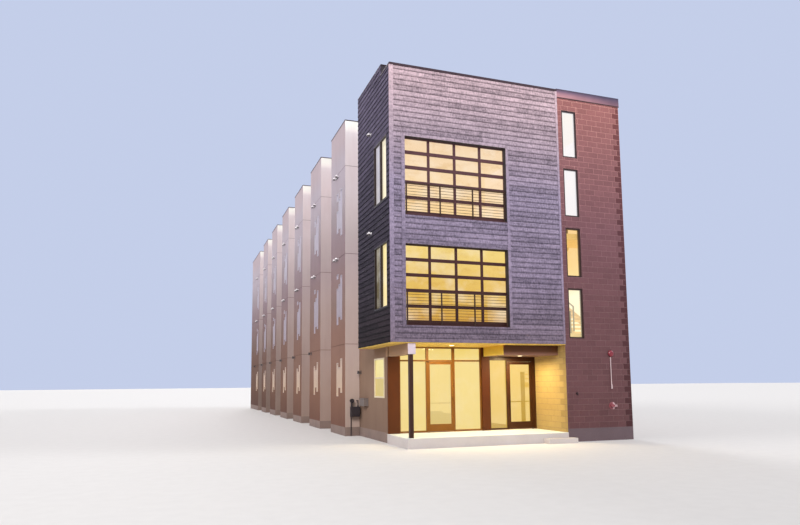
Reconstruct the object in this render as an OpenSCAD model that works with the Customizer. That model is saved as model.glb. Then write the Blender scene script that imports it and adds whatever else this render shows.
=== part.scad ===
// Terraced row of stepped stucco bays behind a wood-clad street front,
// with a block stair tower and a recessed glazed entrance.
// Measured from the street front's left corner: X along the street,
// Y back along the row, Z up from the lowest point of the ground.

/* [Row] */
// Width over the bay faces on both sides
row_w = 9080; // [8600:20:11000]
// Height of the stucco parapet above the roof deck
parapet_h = 1480; // [1200:10:2000]
// Depth from the street front to the first stucco bay
row_start = 5790; // [5650:10:7000]
// Distance from one bay to the next
bay_pitch = 4630; // [4000:10:4700]
// Length of each bay's face
bay_l = 2450; // [2200:10:3200]
// Length of the last bay's face
end_bay_l = 5220; // [3600:10:5600]
// Number of bays on each side
bay_n = 7; // [3:1:7]
// Depth of the step back between two bays
recess_d = 590; // [400:10:900]
// Thickness of the stucco walls
wall_t = 250; // [180:5:300]

/* [Levels] */
// Ground floor above the lowest ground
floor_z = 350; // [330:5:430]
// Height of the ground storey, floor to floor
ground_storey_h = 3400; // [3300:10:3700]
// Height of the second storey, floor to floor
storey_h = 3600; // [3450:10:3700]
// Height of the third storey, from its floor to the top of the roof deck
top_storey_h = 4100; // [3950:10:4400]
// Thickness of the upper floors
deck_t = 400; // [250:10:400]
// Joint between slabs that are cast apart
slab_joint = 10; // [6:1:20]
// First joint in the stucco above the ground floor
reveal_h = 3280; // [3150:10:3350]
// Distance from one joint in the stucco to the next
reveal_pitch = 3680; // [3500:10:3700]
// Width of the joints in the stucco
reveal_w = 14; // [8:1:20]
// Depth of the joints in the stucco
reveal_deep = 12; // [6:1:20]

/* [Wood box] */
// Width of the wood-clad front
box_w = 6380; // [6300:10:6800]
// Depth of the wood-clad side
box_d = 3790; // [3600:10:4200]
// Thickness of the wood-clad walls
box_wall_t = 300; // [250:10:340]
// How much lower the front parapet is than the high one
parapet_drop = 355; // [230:5:600]
// Depth of the low parapet before the higher one starts
low_parapet_d = 900; // [700:10:1200]
// Thickness of the soffit boards
soffit_t = 25; // [18:1:40]

/* [Big windows] */
// Left edge of both big windows
big_x = 505; // [450:5:700]
// Width of each big window
big_w = 3720; // [3000:10:3900]
// Height of each big window
big_h = 2650; // [2300:10:2750]
// Sill of the lower big window above the second floor
big_sill = 145; // [100:5:250]
// Panes across each big window
big_cols = 4; // [3:1:5]
// Panes up each big window
big_rows = 5; // [4:1:6]
// Width of the upright bars between the panes
bar_w = 80; // [60:2:100]
// Height of the cross bars between the rows of panes
crossbar_h = 105; // [70:5:120]
// Height of the bottom bar of each big window
foot_bar_h = 180; // [110:5:220]
// Depth of the big windows' bars
big_frame_d = 60; // [40:5:80]
// Distance from the wood face back to the big windows' bars
big_setback = 170; // [130:5:200]
// How far the big windows' bars reach behind the wood at the sides and the top
rebate_w = 80; // [50:5:100]
// Thickness of the metal sill under each big window
sill_t = 20; // [12:1:30]
// How far the sills stand out of the wood
sill_proud = 15; // [8:1:25]
// Thickness of the glass
glass_t = 12; // [8:1:16]
// Height of the guard before each big window, above its sill
guard_h = 1080; // [1000:10:1150]
// Number of round bars in each guard
guard_bars_n = 10; // [7:1:12]
// Radius of the guard's round bars
guard_bar_r = 7; // [5:1:10]
// Side of the guard's square posts
guard_post_w = 40; // [30:2:50]
// Distance from the wood face back to the guard
guard_in = 45; // [30:5:60]
// Distance from the sides of the opening to the guard's first and last post
guard_post_in = 48; // [20:2:80]

/* [Side windows] */
// Front edge of the wood-clad side's windows
side_win_y = 320; // [310:10:500]
// Width of the side windows
side_win_w = 1420; // [1200:10:1700]
// Height of the side windows
side_win_h = 2180; // [1900:10:2300]
// Sill of the side windows above their floor
side_win_sill = 750; // [600:10:900]
// Width of the frames of the side windows and the tower's windows
frame_w = 52; // [40:2:70]
// Depth of the frames of the side windows and the tower's windows
frame_d = 110; // [80:5:140]
// How far the side windows' frames stand out of the wood
side_frame_proud = 15; // [8:1:25]

/* [Slot windows] */
// Width of each narrow slot window in the bays
slot_w = 270; // [200:5:300]
// Wall left between neighbouring slots
slot_gap = 50; // [40:5:80]
// Distance from a bay's near edge to its first slot
slot_inset = 470; // [420:10:600]
// Width of the white slot frames
slot_frame_w = 28; // [20:1:40]
// How far the slot frames stand out of the stucco
slot_proud = 15; // [8:1:30]
// Depth of the slot frames in the wall
slot_frame_d = 95; // [60:5:140]

/* [Stair tower] */
// Thickness of the block walls
block_t = 200; // [190:5:250]
// Distance the tower's face lies behind the wood face
tower_setback = 25; // [10:5:60]
// How far the tower's foundation stands above the ground floor
plinth_h = 100; // [80:5:200]
// Height of the tower's blocks above the roof deck
tower_rise = 850; // [700:5:1100]
// Height of the metal cap
cap_h = 340; // [250:5:400]
// How far the cap stands out of the blocks
cap_proud = 20; // [10:2:40]
// Distance from the wood front to the tower's slot windows
tower_win_in = 190; // [180:5:320]
// Width of the tower's slot windows
tower_win_w = 620; // [500:10:700]
// Height of the tower's slot windows
tower_win_h = 1770; // [1500:10:1850]
// How far the lowest tower window starts below the second floor
tower_win_drop = 190; // [50:10:250]
// Distance from the tower's face back to its window frames
tower_frame_in = 20; // [10:2:40]
// Distance from one tower window to the next
tower_win_pitch = 2180; // [2100:10:2200]
// Width of the doorways into the stair hall
stair_door_w = 900; // [800:10:950]
// Height of the doorways into the stair hall
stair_door_h = 2100; // [2000:10:2110]
// Distance from the street wall of each storey to its doorway
stair_door_in = 100; // [60:10:120]
// Depth of a stair tread
tread_d = 290; // [250:5:300]
// Thickness of a tread
tread_t = 50; // [30:5:60]
// Thickness of a stringer
stringer_t = 40; // [20:5:60]
// Depth of a stringer below the line of the treads
stringer_h = 280; // [220:10:320]
// Thickness of the stair landings
landing_t = 200; // [150:10:250]
// Width of the gap between the two flights
stair_gap = 100; // [60:10:200]
// Depth of the front landings
landing_d = 1275; // [1100:5:1400]
// Height of the handrails above the tread line
rail_h = 950; // [900:10:1070]
// Thickness of the handrails and their posts
rail_w = 40; // [30:2:50]

/* [Storefront] */
// Distance from the wood face back to the storefront
store_y = 2050; // [1800:10:2300]
// Depth of the storefront frames
store_d = 115; // [100:5:140]
// Width of the storefront mullions
mullion_w = 50; // [40:2:60]
// Height of the entrance door openings above the ground floor
door_h = 2460; // [2200:10:2550]
// Height of the transom rail
transom_h = 55; // [45:5:80]
// Height of the lowered entry beam
beam_h = 335; // [220:5:400]
// Distance from the wood face back to the entry beam
beam_y = 480; // [400:10:900]
// Distance from the column's left edge to the beam's left face
beam_in = 80; // [60:5:300]
// Right edge of the brown corner panel
corner_panel_x = 960; // [900:10:1200]
// Width of both door openings
door_w = 1010; // [920:10:1100]
// Width of the jamb between the right door and the block wall
right_jamb_w = 150; // [100:5:200]
// Width of the sidelight beside the right door
sidelight_w = 780; // [600:10:900]
// Height of the header over the sidelight
sidelight_head_h = 130; // [80:5:180]
// How far the brown column and corner panel stand out of the storefront
panel_proud = 60; // [30:5:90]
// Width of the wide brown column
column_w = 310; // [200:10:400]
// Width of the fixed light between the left door and the column
middle_light_w = 1100; // [900:10:1200]
// How far the entry slab lies below the ground floor
porch_step = 20; // [12:1:40]
// Left edge of the entry slab
porch_x = 520; // [500:10:560]
// Width of the step before the entry slab
step_w = 1130; // [900:10:2000]
// Depth of the step before the entry slab
step_d = 350; // [280:10:400]
// How far the step runs past the block wall's face
step_side = 130; // [50:10:200]

/* [Doors] */
// Gap between a door leaf and its frame
door_gap = 6; // [5.5:0.5:9]
// Thickness of a door leaf
leaf_t = 45; // [40:1:50]
// Width of the stiles and top rail of a leaf
stile_w = 95; // [70:5:120]
// Height of the bottom rail of a leaf
bottom_rail_h = 250; // [150:10:300]
// Radius of the door pivot pins
pivot_r = 9; // [7:0.5:11]
// Clearance between a pivot pin and its arm
pivot_clear = 0.3; // [0.2:0.1:0.5]
// Thickness of the pivot arms
pivot_arm_t = 14; // [10:1:18]
// Distance from a leaf's face out to the pivot axis
pivot_out = 26; // [26:1:34]
// Distance from a leaf's hinged edge in to the pivot axis
pivot_in = 22; // [22:1:30]
// Height of the push bars above the ground floor
bar_z = 990; // [900:10:1100]
// Distance from a leaf's inner face to its push bar
bar_reach = 50; // [40:2:70]
// Length of the pull handles
pull_l = 320; // [250:10:400]
// Radius of the pull handles
pull_r = 13; // [10:1:16]

/* [Posts and wall pieces] */
// Radius of the round lights in the soffit
soffit_light_r = 75; // [50:5:100]
// Side of the square steel post
post_w = 128; // [100:2:200]
// Left edge of the steel post
post_x = 630; // [580:5:700]
// Distance from the wood face back to the post
post_y = 90; // [40:5:200]
// Height of the white head of the post
post_head_h = 350; // [200:10:450]
// How much the white head is wider than the post
post_head_extra = 60; // [30:5:90]
// Front edge of the ground floor side window
ground_win_y = 2540; // [2450:10:2700]
// Width of the ground floor side window
ground_win_w = 1190; // [900:10:1200]
// Sill of the ground floor side window above the floor
ground_win_sill = 1190; // [1000:10:1300]
// Height of the ground floor side window
ground_win_h = 1420; // [1200:10:1500]
// Radius of the alarm bell
bell_r = 115; // [90:5:150]
// Height of the alarm bell's centre above the ground floor
bell_h = 2690; // [2500:10:2800]
// Length of the conduit below the bell
conduit_l = 1130; // [800:10:1400]
// Height of the fire connection above the ground floor
fire_h = 850; // [600:10:1000]
// Height of the hose bib above the ground floor
hose_h = 1290; // [600:10:1400]
// Distance from the wood front to the hose bib
hose_in = 390; // [300:10:600]
// Distance from a bay's far edge to its wall lamp
lamp_in = 400; // [200:10:600]
// How far the wall lamps hang below the second floor
lamp_drop = 200; // [150:10:400]
// Distance from a bay's far edge to its floodlights
flood_in = 1100; // [900:10:1300]
// Height of the floodlights above their floor
flood_h = 3530; // [3480:10:3580]
// Distance from a floodlight's middle to each of its two heads
flood_head_in = 200; // [120:5:240]
// Radius of the floodlight heads
flood_r = 65; // [45:5:80]
// Distance from the box's back edge to the spotlights on its side
spot_in = 1690; // [1400:10:1800]
// Distance from the first bay to the lamp on the ground floor's side
side_lamp_in = 240; // [150:10:400]
// Height of the lamp on the ground floor's side above its floor
side_lamp_h = 2150; // [1900:10:2400]
// Height of the gas meter's case above the ground
meter_z = 760; // [600:10:900]
// Width of the gas meter's case
meter_w = 360; // [280:10:400]
// Depth of the gas meter's case
meter_d = 190; // [150:10:240]
// Height of the gas meter's case itself
meter_h = 390; // [300:10:450]
// Distance from the first bay's face to the middle of the gas meter
meter_x = 350; // [300:10:370]
// Height of the meter box above the ground
meter_box_z = 1200; // [1000:10:1400]
// Distance from the first bay to the meter box's front edge
meter_box_in = 1240; // [1000:10:1400]
// Distance from the tower's right edge to the bell's centre
bell_in = 850; // [700:10:1100]
// Thickness of the thin metal coping
coping_t = 30; // [20:2:50]
// How far the coping stands out of the walls
coping_proud = 15; // [8:1:25]

/* [Hidden] */
// Every length along the row follows from the bays
row_end = row_start + (bay_n - 1) * bay_pitch + end_bay_l;
level_2 = floor_z + ground_storey_h;
level_3 = level_2 + storey_h;
roof_z = level_3 + top_storey_h;
row_top = roof_z + parapet_h;
box_top = row_top - parapet_drop;
soffit_z = level_2 - deck_t;
store_head = soffit_z - soffit_t;
beam_z = store_head - beam_h;
porch_z = floor_z - porch_step;
transom_z = floor_z + door_h;
right_door_x = box_w - right_jamb_w - door_w;
column_x = right_door_x - sidelight_w - column_w;
left_door_x = column_x - middle_light_w - door_w;
beam_x = column_x + beam_in;
tower_base_z = floor_z + plinth_h;
cap_z = roof_z + tower_rise;
tower_win_x = box_w + tower_win_in;
tower_win_sill = level_2 - tower_win_drop;
tower_in_x0 = box_w + block_t;
tower_in_x1 = row_w - block_t;
tower_in_y0 = tower_setback + block_t;
tower_in_y1 = row_start - block_t;
tower_roof_t = 200;
tower_roof_z = cap_z - tower_roof_t;
leaf_y = store_y + 12;
leaf_z0 = floor_z + 12;
leaf_top = transom_z - door_gap;
inner_x = recess_d + wall_t;
pivot_boss_r = 20;
leaf_w = door_w - 2 * door_gap;
leaf_h = leaf_top - leaf_z0;
// One storey of stair: ten risers to the back landing, ten forward again
flight_risers = 10;
flight_run = (flight_risers - 1) * tread_d;
flight_y0 = tower_in_y0 + landing_d;
flight_y1 = flight_y0 + flight_run;
lane_w = (tower_in_x1 - tower_in_x0 - stair_gap) / 2;
STAIR_LEVELS = [[floor_z, level_2], [level_2, level_3]];
// Slots of one storey: column, height of the sill above the floor, height
SLOTS_GROUND = [[0, 1340, 1390], [1, 1540, 840], [2, 1190, 1370]];
SLOTS_SECOND = [[0, 920, 1850], [1, 1060, 1380], [2, 750, 1540], [2, 2690, 200]];
SLOTS_THIRD = [[0, 860, 1980], [1, 1200, 1300], [2, 1060, 960], [2, 2450, 330]];
STOREY_SLOTS = [[floor_z, SLOTS_GROUND], [level_2, SLOTS_SECOND], [level_3, SLOTS_THIRD]];
STUCCO = "#d9d2cf";
WOOD = "#7d7687";
BLOCK = "#6f5450";
BRONZE = "#5b3a26";
DARK = "#33302f";
CONCRETE = "#a7a39c";
WHITE = "#efece6";
GLASS = [0.95, 0.85, 0.55, 0.5];

// Placing and repeated shapes

// Puts the row's own corner coordinates round the middle of its footprint
module placed() {
    translate([-row_w / 2, -row_end / 2, 0]) children();
}

module block(x0, y0, z0, x1, y1, z1) {
    translate([x0, y0, z0]) cube([x1 - x0, y1 - y0, z1 - z0]);
}

// The same piece on the east side, mirrored about the row's middle
module east() {
    translate([row_w, 0, 0]) mirror([1, 0, 0]) children();
}

function bay_y0(i) = row_start + i * bay_pitch;
function bay_y1(i) = i == bay_n - 1 ? row_end : bay_y0(i) + bay_l;

// A frame round an opening in a wall that faces the street
module street_frame(x, y, z, w, h, rim, depth) {
    difference() {
        block(x, y, z, x + w, y + depth, z + h);
        block(x + rim, y - 1, z + rim, x + w - rim, y + depth + 1, z + h - rim);
    }
}

// A frame round an opening in a wall that faces west
module west_frame(x, y, z, w, h, rim, depth) {
    difference() {
        block(x, y, z, x + depth, y + w, z + h);
        block(x - 1, y + rim, z + rim, x + depth + 1, y + w - rim, z + h - rim);
    }
}

// Places its child at each slot window of the bay that starts at y
module at_slots(y) {
    for (storey = STOREY_SLOTS, slot = storey[1]) {
        slot_y = y + slot_inset + slot[0] * (slot_w + slot_gap);
        $slot_h = slot[2];
        translate([0, slot_y, storey[0] + slot[1]]) children();
    }
}

// Row outline grown outwards by d, from the box's corner round to the tower
function west_edge(d) = [for (i = [0 : bay_n - 1])
    each [[-d, bay_y0(i) - d], [-d, bay_y1(i) + d],
        if (i < bay_n - 1) each [[recess_d - d, bay_y1(i) + d],
            [recess_d - d, bay_y0(i + 1) - d]]]];
function mirrored(points) = [for (k = [len(points) - 1 : -1 : 0])
    [row_w - points[k][0], points[k][1]]];

// Foundation and floors

module foundation() {
    color(CONCRETE) placed() {
        block(recess_d, store_y, 0, box_w, row_start - slab_joint, floor_z);
        block(box_w + slab_joint, tower_in_y0, 0, tower_in_x1,
            row_start - slab_joint, floor_z);
        linear_extrude(floor_z) polygon(concat(west_edge(0), mirrored(west_edge(0))));
    }
}

module entry_slab() {
    color(CONCRETE) placed() {
        block(porch_x, 0, 0, box_w, store_y, porch_z);
        block(box_w - step_w + step_side, -step_d, 0, box_w + step_side, 0, porch_z / 2);
    }
}

module tower_base() {
    color(CONCRETE) placed() {
        block(box_w, tower_setback, 0, row_w, tower_in_y0, tower_base_z);
        block(tower_in_x1, tower_in_y0, 0, row_w, row_start, tower_base_z);
    }
}

// Deck of one level: the front part and the row part, cast apart
module deck(z, t) {
    inner = west_edge(-wall_t);
    placed() {
        translate([0, 0, z - t]) linear_extrude(t) polygon([
            [box_wall_t, box_wall_t], [box_w, box_wall_t],
            [box_w, row_start - slab_joint], [inner_x, row_start - slab_joint],
            [inner_x, box_d - box_wall_t], [box_wall_t, box_d - box_wall_t]]);
        translate([0, 0, z - t]) linear_extrude(t) polygon(concat(
            [[inner_x, row_start], [inner_x, row_start + wall_t]], inner,
            mirrored(inner),
            [[row_w - inner_x, row_start + wall_t], [row_w - inner_x, row_start]]));
    }
}

module floor_2() {
    color("#b9a98f") deck(level_2, deck_t);
}

module floor_3() {
    color("#b9a98f") deck(level_3, deck_t);
}

module roof_decks() {
    color("#8f8d8b") {
        deck(roof_z, deck_t);
        placed() block(tower_in_x0, tower_in_y0, tower_roof_z - tower_roof_t,
            tower_in_x1, tower_in_y1, tower_roof_z);
    }
}

// Stucco walls of the row

// Cuts the joints that run round the stucco at each storey
module jointed() {
    difference() {
        children();
        for (k = [0 : 2]) translate([0, 0, floor_z + reveal_h + k * reveal_pitch]) {
            linear_extrude(reveal_w) difference() {
                polygon(concat(west_edge(1), mirrored(west_edge(1))));
                polygon(concat(west_edge(-reveal_deep), mirrored(west_edge(-reveal_deep))));
            }
            block(recess_d - 1, box_d, 0, recess_d + reveal_deep, row_start, reveal_w);
        }
    }
}

module west_bay_walls() {
    for (i = [0 : bay_n - 1]) difference() {
        block(0, bay_y0(i), floor_z, wall_t, bay_y1(i), row_top);
        at_slots(bay_y0(i)) block(-1, 0, 0, wall_t + 1, slot_w, $slot_h);
    }
}

module west_bay_returns() {
    for (i = [0 : bay_n - 1]) {
        block(wall_t, bay_y0(i), floor_z, inner_x, bay_y0(i) + wall_t, row_top);
        if (i < bay_n - 1)
            block(wall_t, bay_y1(i) - wall_t, floor_z, inner_x, bay_y1(i), row_top);
    }
}

module west_recess_walls() {
    for (i = [0 : bay_n - 2])
        block(recess_d, bay_y1(i), floor_z, inner_x, bay_y0(i + 1), row_top);
}

module bay_walls() {
    color(STUCCO) placed() jointed() {
        west_bay_walls();
        east() west_bay_walls();
    }
}

module bay_returns() {
    color(STUCCO) placed() jointed() {
        west_bay_returns();
        east() west_bay_returns();
    }
}

// The wall over the side wall closes the step from the wood box to the first bay
module recess_walls() {
    color(STUCCO) placed() jointed() {
        west_recess_walls();
        east() west_recess_walls();
        block(recess_d, box_d, soffit_z, inner_x, row_start, row_top);
    }
}

module rear_wall() {
    color(STUCCO) placed() jointed()
        block(wall_t, row_end - wall_t, floor_z, row_w - wall_t, row_end, row_top);
}

module side_wall() {
    color(STUCCO) placed() difference() {
        block(recess_d, store_y + store_d, floor_z, inner_x, row_start, soffit_z);
        block(recess_d - 1, ground_win_y, floor_z + ground_win_sill, inner_x + 1,
            ground_win_y + ground_win_w, floor_z + ground_win_sill + ground_win_h);
    }
}

// Parapet round the high roof where no outer wall carries it
module upper_parapet() {
    color(STUCCO) placed() {
        block(box_wall_t, low_parapet_d, roof_z, box_w,
            low_parapet_d + wall_t, row_top);
        block(box_w - wall_t, low_parapet_d + wall_t, roof_z, box_w,
            row_start + wall_t, row_top);
        block(box_w, row_start, roof_z, row_w - inner_x, row_start + wall_t, row_top);
    }
}

module coping_ring(d_out, d_in) {
    difference() {
        polygon(concat([[-d_out, low_parapet_d - d_out], [-d_out, box_d + d_out],
            [recess_d - d_out, box_d + d_out], [recess_d - d_out, row_start - d_out]],
            west_edge(d_out), mirrored(west_edge(d_out)),
            [[box_w + d_out, row_start - d_out], [box_w + d_out, low_parapet_d - d_out]]));
        polygon(concat([[box_wall_t + d_in, low_parapet_d + wall_t + d_in],
            [box_wall_t + d_in, box_d - box_wall_t - d_in],
            [inner_x + d_in, box_d - box_wall_t - d_in],
            [inner_x + d_in, row_start + wall_t + d_in]],
            west_edge(-wall_t - d_in), mirrored(west_edge(-wall_t - d_in)),
            [[box_w - wall_t - d_in, row_start + wall_t + d_in],
            [box_w - wall_t - d_in, low_parapet_d + wall_t + d_in]]));
    }
}

module parapet_coping() {
    color(DARK) placed() {
        translate([0, 0, row_top]) linear_extrude(coping_t)
            coping_ring(coping_proud, coping_proud);
        block(-coping_proud, -coping_proud, box_top, box_w,
            box_wall_t + coping_proud, box_top + coping_t);
        block(-coping_proud, box_wall_t + coping_proud, box_top,
            box_wall_t + coping_proud, low_parapet_d, box_top + coping_t);
    }
}

// Wood-clad box over the entrance

module wood_front_wall() {
    color(WOOD) placed() difference() {
        block(0, 0, soffit_z, box_w, box_wall_t, box_top);
        for (z = [level_2 + big_sill, level_3 + big_sill]) {
            block(big_x, -1, z, big_x + big_w, box_wall_t + 1, z + big_h);
            block(big_x - rebate_w, big_setback, z, big_x + big_w + rebate_w,
                box_wall_t + 1, z + big_h + rebate_w);
        }
    }
}

module wood_side_wall() {
    color(WOOD) placed() difference() {
        union() {
            block(0, box_wall_t, soffit_z, box_wall_t, box_d, box_top);
            block(0, low_parapet_d, soffit_z, box_wall_t, box_d, row_top);
        }
        for (z = [level_2, level_3])
            block(-1, side_win_y, z + side_win_sill, box_wall_t + 1,
                side_win_y + side_win_w, z + side_win_sill + side_win_h);
    }
}

module wood_back_return() {
    color(WOOD) placed()
        block(box_wall_t, box_d - box_wall_t, soffit_z, inner_x, box_d, row_top);
}

module front_soffit() {
    color("#b08a5a") placed() translate([0, 0, soffit_z - soffit_t])
        linear_extrude(soffit_t) polygon([[0, 0], [box_w, 0], [box_w, store_y],
            [recess_d, store_y], [recess_d, box_d], [0, box_d]]);
}

// Stair tower

module tower_front_wall() {
    color(BLOCK) placed() difference() {
        block(box_w, tower_setback, tower_base_z, row_w, tower_in_y0, cap_z);
        for (i = [0 : 3]) translate([0, 0, tower_win_sill + i * tower_win_pitch])
            block(tower_win_x, 0, 0, tower_win_x + tower_win_w, tower_in_y0 + 1,
                tower_win_h);
    }
}

module tower_side_wall() {
    color(BLOCK) placed()
        block(tower_in_x1, tower_in_y0, tower_base_z, row_w, row_start, cap_z);
}

module tower_inner_wall() {
    color(BLOCK) placed() difference() {
        block(box_w, tower_in_y0, floor_z, tower_in_x0, row_start, cap_z);
        for (foot = [[store_y + store_d, floor_z], [box_wall_t, level_2],
            [box_wall_t, level_3]])
            block(box_w - 1, foot[0] + stair_door_in, foot[1], tower_in_x0 + 1,
                foot[0] + stair_door_in + stair_door_w, foot[1] + stair_door_h);
    }
}

module tower_back_wall() {
    color(BLOCK) placed()
        block(tower_in_x0, tower_in_y1, floor_z, tower_in_x1, row_start, cap_z);
}

module tower_cap() {
    color(DARK) placed() difference() {
        block(box_w, tower_setback - cap_proud, cap_z, row_w + cap_proud,
            row_start, cap_z + cap_h);
        block(tower_in_x0, tower_in_y0, cap_z - 1, tower_in_x1, tower_in_y1,
            cap_z + cap_h + 1);
    }
}

// Places its child at the foot of each flight, rising along +Y, and gives it
// the height of a riser and where the stringer beside the gap stands
module at_flights() {
    for (lv = STAIR_LEVELS) {
        $riser = (lv[1] - lv[0]) / (2 * flight_risers);
        translate([tower_in_x1 - lane_w, flight_y0, lv[0]]) {
            $inner_x = 0;
            children();
        }
        translate([tower_in_x0, flight_y1, lv[0] + flight_risers * $riser])
            mirror([0, 1, 0]) {
                $inner_x = lane_w - stringer_t;
                children();
            }
    }
}

module stair_treads() {
    color("#8b8781") placed() at_flights() for (k = [0 : flight_risers - 2])
        translate([stringer_t, k * tread_d, (k + 1) * $riser - tread_t])
            cube([lane_w - 2 * stringer_t, tread_d - 6, tread_t]);
}

// Side profile of a stringer, in Y and Z
module stringer_profile() {
    rise = flight_risers * $riser;
    polygon([[0, $riser - stringer_h], [0, $riser + 20],
        [flight_run, rise + 20], [flight_run, rise - stringer_h]]);
}

module stair_stringers() {
    color("#4a4644") placed() difference() {
        at_flights() for (x = [0, lane_w - stringer_t])
            translate([x, 0, 0]) rotate([90, 0, 90])
                linear_extrude(stringer_t) stringer_profile();
        block(0, 0, 0, row_w, row_start, floor_z);
    }
}

module stair_landings() {
    color("#8b8781") placed() for (lv = STAIR_LEVELS) {
        mid = (lv[0] + lv[1]) / 2;
        block(tower_in_x0, flight_y1, mid - landing_t, tower_in_x1, tower_in_y1, mid);
        block(tower_in_x0, tower_in_y0, lv[1] - landing_t, tower_in_x1,
            flight_y0, lv[1]);
    }
}

// Handrail of one flight: three posts on the inner stringer and a top rail
module stair_handrails() {
    color(DARK) placed() at_flights() {
        slope = $riser / tread_d;
        translate([$inner_x, 0, $riser + 20]) rotate([90, 0, 90]) linear_extrude(rail_w)
            polygon([[0, rail_h - rail_w], [0, rail_h],
                [flight_run, rail_h + slope * flight_run],
                [flight_run, rail_h - rail_w + slope * flight_run]]);
        for (y = [0, (flight_run - rail_w) / 2, flight_run - rail_w])
            translate([$inner_x, y, $riser + 20 + slope * y]) rotate([90, 0, 90])
                linear_extrude(rail_w) polygon([[0, 0], [0, rail_h - rail_w / 2],
                    [rail_w, rail_h - rail_w / 2 + slope * rail_w],
                    [rail_w, slope * rail_w]]);
    }
}

// Recessed storefront

module entry_columns() {
    color(BRONZE) placed() {
        block(recess_d - panel_proud, store_y - panel_proud, porch_z, corner_panel_x,
            store_y, store_head);
        block(recess_d, store_y, floor_z, corner_panel_x,
            store_y + store_d, store_head);
        block(column_x, store_y - panel_proud, porch_z, column_x + column_w,
            store_y, beam_z);
        block(column_x, store_y - panel_proud, beam_z, beam_x, store_y, store_head);
        block(column_x, store_y, floor_z, column_x + column_w,
            store_y + store_d, store_head);
    }
}

module store_frame(x0, x1, top) {
    street_frame(x0, store_y, floor_z, x1 - x0, top - floor_z, mullion_w, store_d);
}

module storefront_frames() {
    color(BRONZE) placed() {
        store_frame(corner_panel_x, left_door_x, store_head);
        block(corner_panel_x, store_y, transom_z, left_door_x,
            store_y + store_d, transom_z + transom_h);
        store_frame(left_door_x + door_w, column_x, store_head);
        block(left_door_x + door_w, store_y, transom_z, column_x,
            store_y + store_d, transom_z + transom_h);
        store_frame(column_x + column_w, right_door_x, beam_z);
        block(column_x + column_w, store_y, beam_z - sidelight_head_h, right_door_x,
            store_y + store_d, beam_z);
        block(right_door_x + door_w, store_y, floor_z, box_w,
            store_y + store_d, beam_z);
    }
}

// Foot plate, thrust collar and pin below a leaf, bracket and pin above it
module pivot_pair() {
    reach = store_y - (leaf_y - pivot_out);
    collar = 5;
    plate = pivot_boss_r + collar;
    plate_t = 16;
    translate([-plate, -plate, porch_z]) cube([2 * plate, plate + reach, floor_z - porch_z]);
    cylinder_up(pivot_r + collar, floor_z, leaf_z0 - pivot_clear);
    cylinder_up(pivot_r, floor_z, leaf_z0 + pivot_arm_t);
    translate([-plate, -plate, transom_z]) cube([2 * plate, plate + reach, plate_t]);
    cylinder_up(pivot_r, leaf_top - pivot_arm_t, transom_z);
}

module cylinder_up(r, z0, z1) {
    translate([0, 0, z0]) cylinder(r = r, h = z1 - z0, $fn = 48);
}

module door_pivots() {
    color("#4a4644") placed() {
        for (x = [left_door_x + door_gap + pivot_in,
            right_door_x + door_w - door_gap - pivot_in])
            translate([x, leaf_y - pivot_out, 0]) pivot_pair();
    }
}

module door_headers() {
    color(BRONZE) placed() {
        street_frame(left_door_x, store_y, transom_z, door_w,
            store_head - transom_z, transom_h, store_d);
        block(right_door_x, store_y, transom_z, right_door_x + door_w,
            store_y + store_d, beam_z);
    }
}

module store_pane(x0, z0, x1, z1) {
    block(x0, store_y + (store_d - glass_t) / 2, z0, x1,
        store_y + (store_d + glass_t) / 2, z1);
}

module storefront_glass() {
    top = store_head - mullion_w;
    placed() {
        for (span = [[corner_panel_x, left_door_x], [left_door_x + door_w, column_x]]) {
            store_pane(span[0] + mullion_w, floor_z + mullion_w,
                span[1] - mullion_w, transom_z);
            store_pane(span[0] + mullion_w, transom_z + transom_h,
                span[1] - mullion_w, top);
        }
        store_pane(left_door_x + transom_h, transom_z + transom_h,
            left_door_x + door_w - transom_h, store_head - transom_h);
        store_pane(column_x + column_w + mullion_w, floor_z + mullion_w,
            right_door_x - mullion_w, beam_z - sidelight_head_h);
    }
}

// Arm that reaches out of the leaf and turns round a pivot pin
module pivot_arm() {
    difference() {
        union() {
            translate([pivot_in - pivot_boss_r, -pivot_out, 0])
                cube([2 * pivot_boss_r, pivot_out + 10, pivot_arm_t]);
            translate([pivot_in, -pivot_out, 0])
                cylinder(r = pivot_boss_r, h = pivot_arm_t, $fn = 48);
        }
        translate([pivot_in, -pivot_out, -1])
            cylinder(r = pivot_r + pivot_clear, h = pivot_arm_t + 2, $fn = 48);
    }
}

// A leaf whose hinged edge is at x = 0, running to +X
module leaf_frame() {
    for (z = [0, leaf_h - pivot_arm_t]) translate([0, 0, z]) pivot_arm();
    difference() {
        cube([leaf_w, leaf_t, leaf_h]);
        translate([stile_w, -1, bottom_rail_h])
            cube([leaf_w - 2 * stile_w, leaf_t + 2, leaf_h - bottom_rail_h - stile_w]);
    }
    bar_h = bar_z + floor_z - leaf_z0;
    translate([0, leaf_t, bar_h]) push_bar();
    translate([leaf_w - stile_w / 2, 0, bar_h]) pull_handle();
}

// Flat bar on two brackets behind a leaf's inner face
module push_bar() {
    bracket_w = 30;
    bar_t = 18;
    bar_w = 40;
    for (x = [stile_w - 2 * bracket_w, leaf_w - stile_w + bracket_w])
        translate([x, 0, -bracket_w / 2]) cube([bracket_w, bar_reach, bracket_w]);
    translate([stile_w - 2 * bracket_w, bar_reach, -bar_w / 2])
        cube([leaf_w - 2 * stile_w + 4 * bracket_w, bar_t, bar_w]);
}

// Round pull on two stems before a leaf's outer face
module pull_handle() {
    stem_l = 40;
    for (z = [-1, 1] * (pull_l / 2 - 2 * pull_r)) translate([0, -stem_l, z])
        rotate([-90, 0, 0]) cylinder(r = pull_r - 4, h = stem_l, $fn = 24);
    translate([0, -stem_l, -pull_l / 2]) cylinder(r = pull_r, h = pull_l, $fn = 24);
}

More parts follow.
